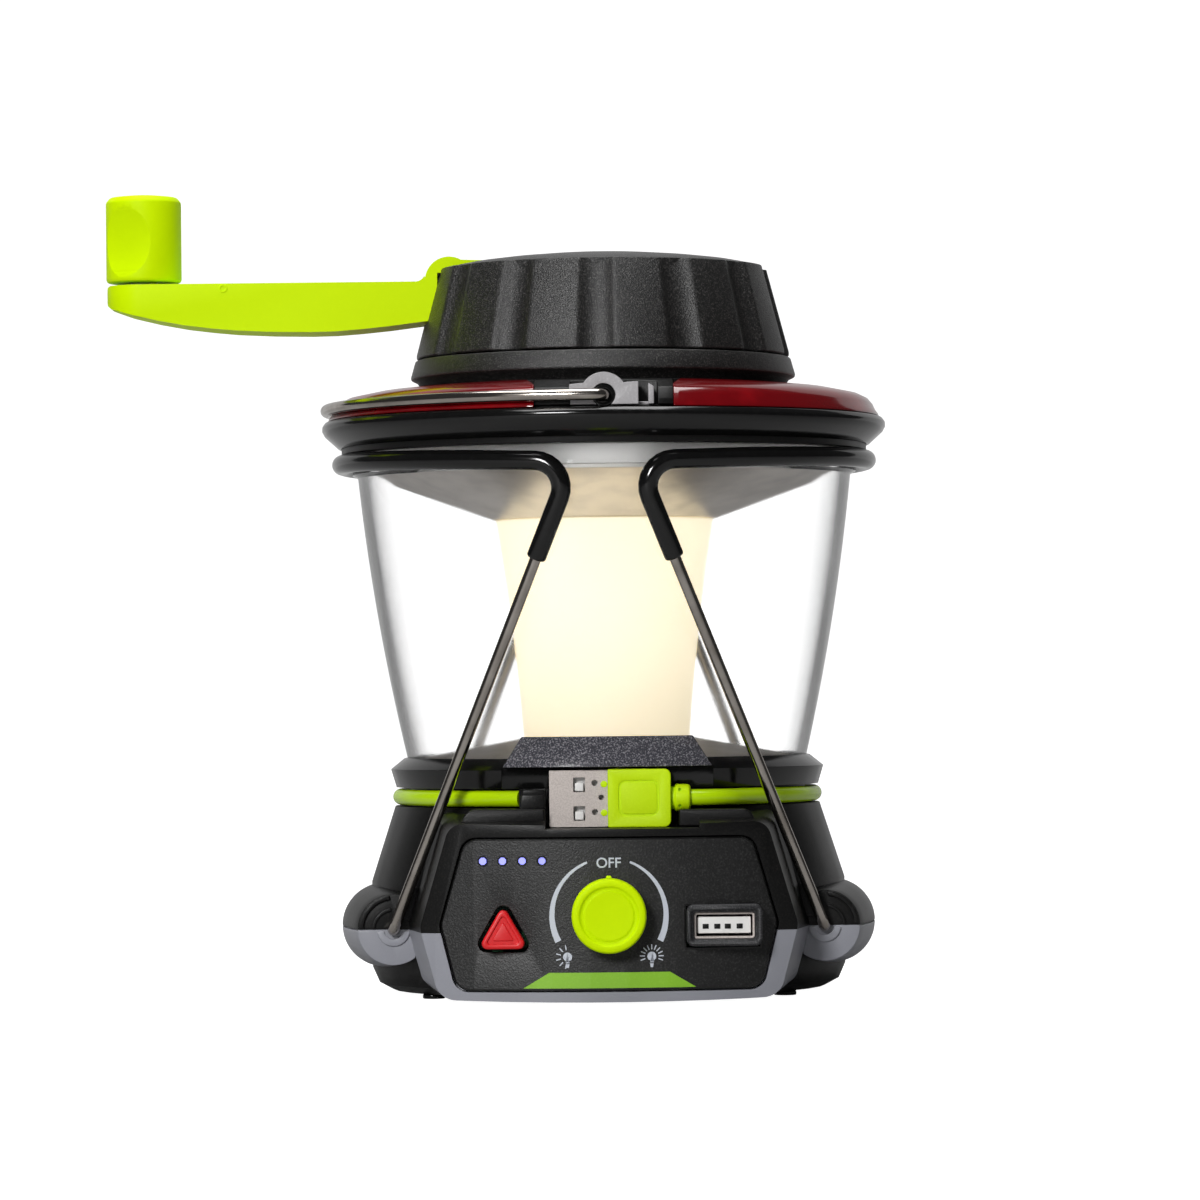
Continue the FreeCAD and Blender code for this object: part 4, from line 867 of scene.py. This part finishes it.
def off_word():
    """Word at the dial's resting place."""
    deselect_all()
    bpy.ops.object.text_add(location=mm(0, PRINT_Y, 28.9), rotation=ALONG_Y)
    words = bpy.context.object
    words.data.body = "OFF"
    words.data.align_x = "CENTER"
    words.data.size = 3.0 * MM
    words.data.offset = 0.03 * MM
    bpy.ops.object.convert(target="MESH")
    return settle(name_piece("off_word"))


def build_prints(panel):
    green = print_sheet("green_label", [(-18.2, 3.6), (18.2, 3.6), (12.7, 6.9), (-12.7, 6.9)])
    greys = [range_arc("range_arc_left", -1), range_arc("range_arc_right", 1), off_word()]
    greys.append(bulb_icon("low_light_icon", -8.8, 10.2, range(100, 261, 32)))
    greys.append(bulb_icon("full_light_icon", 8.9, 10.2, range(-20, 201, 22)))
    finish(on_panel(green, panel), "label_green")
    for grey in greys:
        finish(on_panel(grey, panel), "print_grey")


DIAL_Z = 18.9
BUTTON_X = -22.3


def triangle_outline(grow, radius):
    """The beacon button's triangle, grown outwards, with rounded corners."""
    low, tip, half = 12.0 - grow, 21.3 + grow * 2, 5.35 + grow * 1.7
    return rounded_corners([(BUTTON_X - half, low), (BUTTON_X + half, low), (BUTTON_X, tip)], radius)


def build_button(panel):
    """Red button with a raised rim and a raised smaller triangle, in a hole with a shaded gap."""
    cut_block(panel, triangle_outline(0.8, 1.8), -60, -50)
    front = -58.5
    face = drawn_block("button_face", triangle_outline(0.0, 1.2), front, -52.4, 0.5, 4)
    cut_block(face, triangle_outline(-0.95, 0.6), front - 1, front + 0.45)
    island = drawn_block("button_island", triangle_outline(-1.75, 0.3), front + 0.15, -55, 0.2)
    button = join_pieces("beacon_button_cap", [soften_edges(face, 0.18, 2, 40), island])
    finish(button, "red_rubber", "beacon_button", body="button")


def build_dial():
    """Dial with a rounded rim, a shallow dish with a fine step, and a pointer nub on its edge."""
    outline = [
        (0.0, 0.0), (7.85, 0.0), (7.85, 4.9), (7.55, 5.45), (7.0, 5.6), (6.3, 5.6), (5.95, 5.15),
        (5.4, 5.05), (5.1, 5.3), (4.6, 5.25), (0.0, 5.35),
    ]
    dial = turned_piece("dial_disc", outline, 96, width=0.18)
    lay_down(dial, (0, -58.1, DIAL_Z), 90, "X")
    nub_outline = rounded_corners([(-0.75, 7.2), (0.75, 7.2), (0.5, 8.35), (-0.5, 8.35)], [0, 0, 0.3, 0.3])
    nub = drawn_block("dial_nub", [(x, DIAL_Z + z) for x, z in nub_outline], -59.7, -58.3, 0.2)
    finish(join_pieces("selector_dial_cap", [dial, nub]), "lime_plastic", "selector_dial", body="selector")


def build_socket():
    """Rubber frame with a lip, bright mouth ring, and the insulator with its four contacts."""
    outer = rounded_box(16.3, 12.2, 32.2, 20.9, 1.5)
    mouth = rounded_box(17.75, 13.65, 30.7, 19.35, 0.7)
    lip = rounded_box(17.2, 13.1, 31.25, 19.9, 1.0)
    frame_piece = drawn_block("frame_block", outer, -58.2, -50.5, 0)
    cut_block(frame_piece, mouth, -60, -40)
    cut_block(frame_piece, lip, -60, -57.7)
    finish(soften_edges(frame_piece, 0.35, 3, 40), "frame_rubber", "port_frame")
    ring_outer = rounded_box(17.8, 13.7, 30.65, 19.3, 0.65)
    ring_inner = rounded_box(18.3, 14.2, 30.15, 18.8, 0.3)
    ring = drawn_block("mouth_ring", ring_outer, -56.9, -52.5, 0)
    cut_block(ring, ring_inner, -60, -50)
    finish(soften_edges(ring, 0.12, 2, 40), "plug_metal")
    tongue = rounded_box(18.6, 14.8, 29.8, 18.3, 0.2)
    finish(drawn_block("mouth_tongue", tongue, -55.6, -50.0, 0.15), "white_plastic")
    contact = drawn_block("socket_contact_1", rectangle(19.65, 15.75, 20.95, 16.8), -55.75, -54.9, 0.1)
    contacts = [contact]
    for i, x in enumerate((22.75, 24.95, 27.45)):
        twin = mirrored_copy(contact, f"socket_contact_{i + 2}")
        twin.location.x = (x - 20.3) * MM
        contacts.append(settle(twin))
    finish(join_pieces("socket_contacts", contacts), "black_plastic")


def build_controls():
    panel = mould("front_panel", 0.0, "panel_plastic")
    choose(panel)
    # A 0.4 mm border round the panel's face takes the darker, less glossy rubber finish: painted shade of the
    # gap between the panel and its rim.
    bpy.ops.object.mode_set(mode="EDIT")
    pick("FACE", lambda face: face.normal.y < -0.7)
    bpy.ops.mesh.inset(thickness=0.4 * MM, depth=0)
    leave_edit()
    panel.data.materials.append(FINISHES["black_rubber"])
    for face in panel.data.polygons:
        if face.normal.y < -0.7 and not face.select:
            face.material_index = 1
    build_button(panel)
    soften_edges(panel, 0.5, 3, 35)
    build_prints(panel)
    build_dial()
    build_socket()


# Cable and plug


CABLE_Z = 43.2


def build_cable():
    radius, z, bend = 45.5, CABLE_Z, 12.0
    leave = radians(-37.0)
    gland = radians(-114.1)
    start = Vector((radius * cos(gland), radius * sin(gland), z))
    tangent = Vector((sin(gland), -cos(gland), 0))
    off_circle = Vector((radius * cos(leave), radius * sin(leave), z))
    ahead = Vector((sin(leave), -cos(leave), 0))
    run = (off_circle.y - bend * (1 + sin(leave)) + 44.0) / cos(leave)
    corner = off_circle + ahead * run
    centre = corner - Vector((cos(leave), sin(leave), 0)) * bend
    sweep = 2 * pi - (leave - gland)
    moves = [
        ("to", start + tangent * 0.01),
        ("round", (0, 0, z), (0, 0, -1), sweep, 120),
        ("to", corner),
        ("round", centre, (0, 0, -1), pi / 2 + leave, 12),
        ("to", (15.5, -44.0, z)),
    ]
    cable = bent_rod("charging_cable_round", 1.75, start, moves, 24)
    finish(cable, "lime_cable", "charging_cable")


PLUG_Y = -44.0
PLUG_FRONT = -46.25


def build_plug_shell():
    """Pressed metal shell with two windows over the white insulator, three vent holes and two lime pips."""
    shell = rounded_box(-12.4, 37.2, 0.0, 49.2, 0.25)
    shell = drawn_block("shell_block", shell, PLUG_FRONT, PLUG_FRONT + 4.5, 0.0)
    cut_block(shell, rectangle(-13, 37.6, -0.5, 48.8), PLUG_FRONT + 0.4, PLUG_FRONT + 4.1)
    pads = []
    for low in (38.5, 44.6):
        window = rounded_box(-7.3, low, -4.8, low + 3.1, 0.25)
        cut_block(shell, window, PLUG_FRONT - 1, PLUG_FRONT + 1)
        pad = rectangle(-7.0, low + 0.15, -5.1, low + 2.0)
        pads.append(drawn_block("shell_pad", pad, PLUG_FRONT + 0.6, PLUG_FRONT + 2.2, 0.25))
    for x, z, radius in ((-2.75, 46.5, 0.65), (-1.4, 43.45, 0.55), (-2.75, 40.35, 0.65)):
        drill(shell, radius, 3, (x, PLUG_FRONT, z), ALONG_Y, 24)
    soften_edges(shell, 0.12, 2, 40, 20)
    finish(shell, "plug_metal", "plug_shell")
    finish(join_pieces("plug_window_pads", pads), "white_plastic")
    pips = [
        bar_cutter(0.72, 0.4, (-0.8, PLUG_FRONT + 0.05, z), ALONG_Y, 24) for z in (46.25, 40.15)
    ]
    finish(join_pieces("plug_lime_pips", [soften_edges(pip, 0.1, 2) for pip in pips]), "lime_rubber")


def build_grip():
    """Grip with a shallow framed field, and the stepped relief that the cable leaves by."""
    z = CABLE_Z
    front = PLUG_Y - 3.7
    outline = rounded_corners(rectangle(0.0, 37.05, 13.4, 49.4), [0.3, 1.4, 1.4, 0.3])
    grip = drawn_block("grip_body", outline, front, PLUG_Y + 3.7, 0.55, 4)
    field = drawn_block("grip_field", rounded_box(2.75, 39.85, 10.45, 46.55, 1.2), front + 0.06, front + 2, 0.1)
    cut_block(grip, rounded_box(2.3, 39.4, 10.9, 47.0, 1.6), front - 1, front + 0.22)
    grip = soften_edges(grip, 0.1, 2, 50)
    steps = [(0.0, 0.0), (2.45, 0.0), (2.5, 0.8), (2.95, 1.2), (2.85, 3.9), (2.4, 4.3), (0.0, 4.3)]
    relief = turned_piece("grip_relief", steps, 48, width=0.15)
    lay_down(relief, (13.3, PLUG_Y, z), 90, "Y")
    for up in (-1, 1):
        drill(relief, 0.35, 3, (15.3, PLUG_Y - 2.9, z + 1.7 * up), ALONG_Y, 16)
    drill(relief, 1.8, 6, (18.0, PLUG_Y, z), (0, radians(90), 0), 32)
    grip = join_pieces("plug_grip_moulding", [grip, field, soften_edges(relief, 0)])
    finish(grip, "lime_rubber", "plug_grip")


def build_gland():
    """Stepped black block where the cable comes out of the base, and the ledge in front of it."""
    left = rounded_corners(rectangle(-31.0, 37.2, -13.35, 41.2), [0, 0, 0.5, 3.0])
    right = rounded_corners(rectangle(15.0, 37.2, 31.0, 40.8), [0, 0, 2.5, 0.5])
    block = [(-18.9, 41.0), (-13.35, 41.0), (-13.35, 44.2), (-18.3, 44.2)]
    step = [(-18.3, 44.0), (-13.35, 44.0), (-13.35, 45.2), (-18.0, 45.2)]
    rows = [(block, -47.4, -43.5, 0.3), (step, -46.9, -43.5, 0.25)]
    rows += [(left, -49.6, -44.0, 0.4), (right, -49.0, -44.0, 0.4)]
    steps = [drawn_block("gland_step", *row) for row in rows]
    finish(join_pieces("cable_gland", steps), "black_plastic")


# Top housing, beacon windows, ring and collar


def build_top():
    mould("top_housing", 0.4, "black_plastic")
    dome = [
        (43.2, 126.25), (43.2, 132.6), (50.6, 131.9), (56.4, 130.7), (58.4, 129.7), (59.4, 128.5),
        (60.0, 127.2), (60.6, 126.4), (60.8, 125.8), (58.2, 125.8), (58.2, 126.25),
    ]
    for side, word in ((-1, "left"), (1, "right")):
        window = turned_piece(f"beacon_window_{word}", dome, 160, width=0)
        cut_away(window, (side * 14.7, 0, 0), (side, 0, 0))
        for y in (-1, 1):
            cut_away(window, (side * 14.7, y * 50, 130.75), (side * 0.7, 0, -0.7))
        finish(soften_edges(window, 0.35, 3, 40), "red_lens", f"beacon_lens_{word}")
    ring = [
        (57.95, 119.7), (58.4, 119.7), (61.5, 122.5), (62.1, 123.6), (62.1, 124.6), (61.4, 125.6),
        (57.95, 125.6),
    ]
    finish(turned_piece("trim_ring_turned", ring, 160, width=0.25), "black_rubber", "trim_ring")
    collar = [
        (3.05, 132.6), (39.8, 132.6), (41.1, 134.3), (42.4, 134.9), (42.4, 135.5), (41.4, 139.0),
        (3.05, 139.0),
    ]
    finish(turned_piece("top_collar_turned", collar, 160, width=0.3), "cap_plastic", "top_collar")
    build_brackets()


def build_brackets():
    """Pale blocks that the bail's ends turn in: an arched boss over the pin's recess, and a slanted stop."""
    front, back = -58.9, -52.4
    outline = [(-7.2, 126.25), (-7.2, 130.5), (-5.0, 130.7)]
    outline += [(x, z) for x, z in arc_band((0, 128.0), 0, 5.05, 147, 33, 14)[15:][::-1]]
    outline += [(5.0, 130.9), (7.3, 131.0), (7.3, 126.25)]
    block = drawn_block("bracket_block", outline, front, back, 0)
    drill(block, 2.5, 6, (0, front + 0.1, BAIL_Z), ALONG_Y, 48)
    drill(block, 1.35, 30, (0, front, BAIL_Z), ALONG_Y, 32)
    soften_edges(block, 0.3, 3, 40)
    # A black ring sits in each pin recess: painted shade, darkening the hole round the bail's pin.
    pin_hole_shade_ring = turned_piece("pin_hole_shade_ring", rectangle(1.3, 0.0, 2.42, 1.2), 48, width=0.2)
    lay_down(pin_hole_shade_ring, (0, front + 0.7, BAIL_Z), -90, "X")
    stop = [(9.4, 126.25), (9.4, 130.7), (10.6, 129.9), (10.6, 126.25)]
    stop = drawn_block("bracket_stop", stop, front, back, 0.2)
    web = [(7.0, 126.25), (7.0, 126.9), (9.8, 126.9), (9.8, 126.25)]
    web = drawn_block("bracket_web", web, front + 3.0, back, 0.2)
    bracket = join_pieces("bail_bracket_front_moulding", [block, stop, web])
    twin = mirrored_copy(bracket, "bail_bracket_rear_moulding", y=-1)
    finish(pin_hole_shade_ring, "black_rubber")
    finish(mirrored_copy(pin_hole_shade_ring, "pin_hole_shade_ring_rear", y=-1), "black_rubber")
    finish(bracket, "bracket_grey", "bail_bracket_front")
    finish(twin, "bracket_grey", "bail_bracket_rear")


def build_bail():
    radius, bend, z = 61.2, 2.0, BAIL_Z
    centre_y = sqrt((radius - bend) ** 2 - bend**2)
    scale = radius / (radius - bend)
    touch = Vector((-bend * scale, -centre_y * scale, z))
    turn = atan2(centre_y, bend)
    small = atan2(touch.y + centre_y, touch.x + bend)
    moves = [
        ("to", (0, -centre_y, z)),
        ("round", (-bend, -centre_y, z), (0, 0, 1), small, 10),
        ("round", (0, 0, z), (0, 0, -1), 2 * turn, 96),
        ("round", (-bend, centre_y, z), (0, 0, 1), small, 10),
        ("to", (0, radius - 8.6, z)),
    ]
    start = (0, -(radius - 8.6), z)
    bail = bent_rod("bail_wire_bent", 1.25, start, moves, 20)
    finish(bail, "steel_wire", "bail_wire", body="bail")


def leg_points():
    """Corners of the left leg's centre line, from its pin in the ear to the arc under the ring."""
    arc, x_start = 57.9, 15.2
    front = Vector((-x_start, -sqrt(arc**2 - x_start**2), 114.7))
    side, rear = Vector((-arc, 0, 116.3)), Vector((front.x, -front.y, front.z))
    centre, axis = arc_centre(front, side, rear)
    spoke = front - centre
    turn_point = front - axis.cross(spoke).normalized() * 9.0
    sweep = spoke.angle(rear - centre)
    angle = sweep if (side - centre).angle(spoke) < sweep else 2 * pi - sweep
    pivot = Vector((EAR_X, -34.0, EAR_Z))
    cuff = pivot + (turn_point - pivot) * ((94.0 - pivot.z) / (turn_point.z - pivot.z))
    return pivot, turn_point, cuff, front, centre, axis, angle


def build_legs():
    pivot, turn_point, cuff, front, centre, axis, angle = leg_points()

    def flip(point):
        return Vector((point.x, -point.y, point.z))

    pin = pivot + Vector((0, 10.5, 0))
    wire_moves = bend_at(pin, pivot, turn_point, 2.2) + [("to", cuff)]
    top_bend = bend_at(cuff, turn_point, front, 5.6)
    sleeve_moves = top_bend + [("to", front), ("round", centre, axis, angle, 64)]
    sleeve_moves += bend_at(flip(front), flip(turn_point), flip(cuff), 5.6) + [("to", flip(cuff))]
    for word, side in (("left", 1), ("right", -1)):
        wires = []
        for place in ("front", "rear"):
            wire = bent_rod(f"leg_wire_{word}_{place}", 1.25, pin, wire_moves, 18)
            wire.scale = (side, 1 if place == "front" else -1, 1)
            wires.append(clean_mesh(settle(wire)))
        finish(wires[0], "steel_wire", f"leg_wire_{word}", body=f"{word}_leg")
        finish(wires[1], "steel_wire", body=f"{word}_leg")
        sleeve = bent_rod(f"leg_sleeve_{word}_dipped", 2.1, cuff, sleeve_moves, 22, 0.6)
        sleeve.scale = (side, 1, 1)
        sleeve = clean_mesh(settle(sleeve))
        finish(sleeve, "black_rubber", f"leg_sleeve_{word}", body=f"{word}_leg")


# Crank head


CAP_LOW, CAP_TOP = 40.85, 36.35
HINGE = (-25.4, 157.6)
ARM_HALF = 8.2


def fluted_outline(radius, flute=6.0, depth=1.7, steps=480):
    """Round outline with finger flutes, their edges eased, and none where the arm leaves."""
    turns = [-92 + 360 / 13 * i for i in range(13)]
    turns = [turn for turn in turns if abs(turn % 360 - 180) >= 12]
    middle = radius + flute - depth
    outline = []
    for i in range(steps):
        angle = 360 * i / steps
        away = radians(min(abs((angle - turn + 180) % 360 - 180) for turn in turns))
        reach = radius
        if middle * sin(away) < flute:
            hollow = middle * cos(away) - sqrt(flute**2 - (middle * sin(away)) ** 2)
            ease = max(0.5 - abs(hollow - radius), 0) / 0.5
            reach = min(hollow, radius) - ease * ease * 0.125
        outline.append((reach * cos(radians(angle)), reach * sin(radians(angle))))
    return outline


def raise_ring(height, grow):
    """Extrudes the selected face of the cap upwards and scales it towards the axis."""
    extrude(mm(0, 0, height))
    bpy.ops.transform.resize(value=(grow, grow, 1), center_override=(0, 0, 0))


def arm_rooms():
    """Cutters for the folded arm's channel, its hump, its root, and the wall that it passes over."""
    half, x, z = ARM_HALF + 0.3, *HINGE
    hump = [(x, 152.7)] + [point for point in arc_band((x, z), 0, 16.3, -17.5, 90, 24)[25:][::-1]]
    boxes = [
        rectangle(x, 158.5, 50, 172),
        rectangle(-33.4, 153.9, -24.8, 172),
        rectangle(-50, 157.7, -30, 172),
        rectangle(-50, 147.0, -35.7, 160),
        hump,
    ]
    return [drawn_block("arm_room", box, -half, half, 0) for box in boxes]


def build_cap():
    """Cap drawn as a fluted face and raised ring by ring, with a domed crown and the arm's channel."""
    body = drawn_sheet("cap_body", fluted_outline(CAP_LOW), lambda x, y: mm(x, y, 139.4))
    enter_edit("FACE")
    rise = 158.75 - 140.3
    rings = [(0.25, 1.006), (0.65, 1.0), (rise, (CAP_TOP - 0.3) / CAP_LOW)]
    for height, grow in rings + [(0.25, 0.996), (0.15, 0.992), (0.05, 0.988)]:
        raise_ring(height, grow)
    leave_edit()
    clean_mesh(body)
    crown = [
        (0.0, 158.0), (35.0, 158.0), (35.0, 159.1), (33.0, 159.7), (30.0, 160.3), (24.0, 161.1),
        (16.0, 161.9), (8.0, 162.4), (0.0, 162.5),
    ]
    crown = turned_piece("cap_crown", crown, 160)
    for part in (body, crown):
        for room in arm_rooms():
            carve(part, room)
        drill(part, 1.55, 26, (HINGE[0], 0, HINGE[1]), ALONG_Y, 32)
    drill(body, 3.05, 30, (0, 0, 134.8), sides=48)
    for part in (body, crown):
        soften_edges(part, 0, smooth=32)
    cap = join_pieces("crank_cap_moulding", [body, crown])
    finish(cap, "cap_plastic", "crank_cap", body="crank_head")


def arm_outline():
    """The arm's side view: straight top, round root bump over the cap's rim, and a long curved belly."""
    hinge_x, hinge_z = HINGE
    bump = arc_band((-33.6, 156.4), 0, 5.3, 60, 172, 16)[17:][::-1]
    fillet = arc_band((-41.0, 158.5), 0, 2.2, -25, -90, 6)[7:][::-1]
    belly = [
        (-109.3, 152.8), (-109.0, 151.9), (-108.2, 151.2), (-104.0, 149.8), (-98.0, 148.35), (-91.9, 147.2),
        (-86.0, 146.45), (-80.8, 145.95), (-72.6, 145.55), (-64.3, 145.4), (-58.8, 145.5), (-53.2, 145.9),
        (-47.0, 146.5), (-42.2, 147.1), (-39.0, 147.5),
    ]
    root = [(-36.2, 147.8), (-36.2, 158.15), (-31.2, 158.15)]
    root += [(-30.4, hinge_z - 3.2), (hinge_x, hinge_z - 3.2)]
    eye = arc_band((hinge_x, hinge_z), 0, 3.2, -90, 90, 14)[15:][::-1]
    return eye + bump + fillet + [(-108.4, 156.3), (-109.1, 156.0), (-109.3, 155.4)] + belly + root


def build_arm():
    arm = drawn_block("crank_arm_bar", arm_outline(), -ARM_HALF, ARM_HALF, 0)
    plan = rounded_corners(
        rectangle(-109.3, -ARM_HALF, -20, ARM_HALF), [8.15, 0, 0, 8.15], 24
    )
    plan = drawn_block("arm_plan", plan, 130, 180, 0, axis="Z")
    carve(arm, plan, "INTERSECT")
    drill(arm, 1.55, 40, (HINGE[0], 0, HINGE[1]), ALONG_Y, 32)
    soften_edges(arm, 0.6, 3, 50, 40)
    bumps, ring = [], [(0.55, -0.17), (0.95, -0.17), (1.0, 0.3), (0.5, 0.3)]
    for side in (-1, 1):
        bump = turned_piece("detent_ring", ring, 32, width=0.08)
        bumps.append(lay_down(bump, (-83.2, side * ARM_HALF, 155.2), 90 * side, "X"))
    arm = join_pieces("crank_arm_moulding", [arm] + bumps)
    finish(arm, "lime_plastic", "crank_arm", body="folding_arm")


def build_crank():
    build_cap()
    build_arm()
    outline = [
        (3.05, 157.1), (7.9, 157.1), (8.3, 157.6), (8.3, 174.8), (7.4, 175.9), (4.0, 176.3), (0.0, 176.3),
        (0.0, 174.5), (3.05, 174.5),
    ]
    knob = turned_piece("crank_knob_turned", outline, 96, centre=(-101.2, 0), width=0.3)
    drill(knob, 15.0, 40, (-110.8, -18.9, 165.8), (radians(90), 0, radians(63)), 96)
    finish(soften_edges(knob, 0.3, 3, 32), "lime_plastic", "crank_knob", body="grip_knob")


place_camera()
build_stage()
dress_frame()
build_base()
build_globe()
build_controls()
build_cable()
build_plug_shell()
build_grip()
build_gland()
build_top()
build_bail()
build_legs()
build_crank()
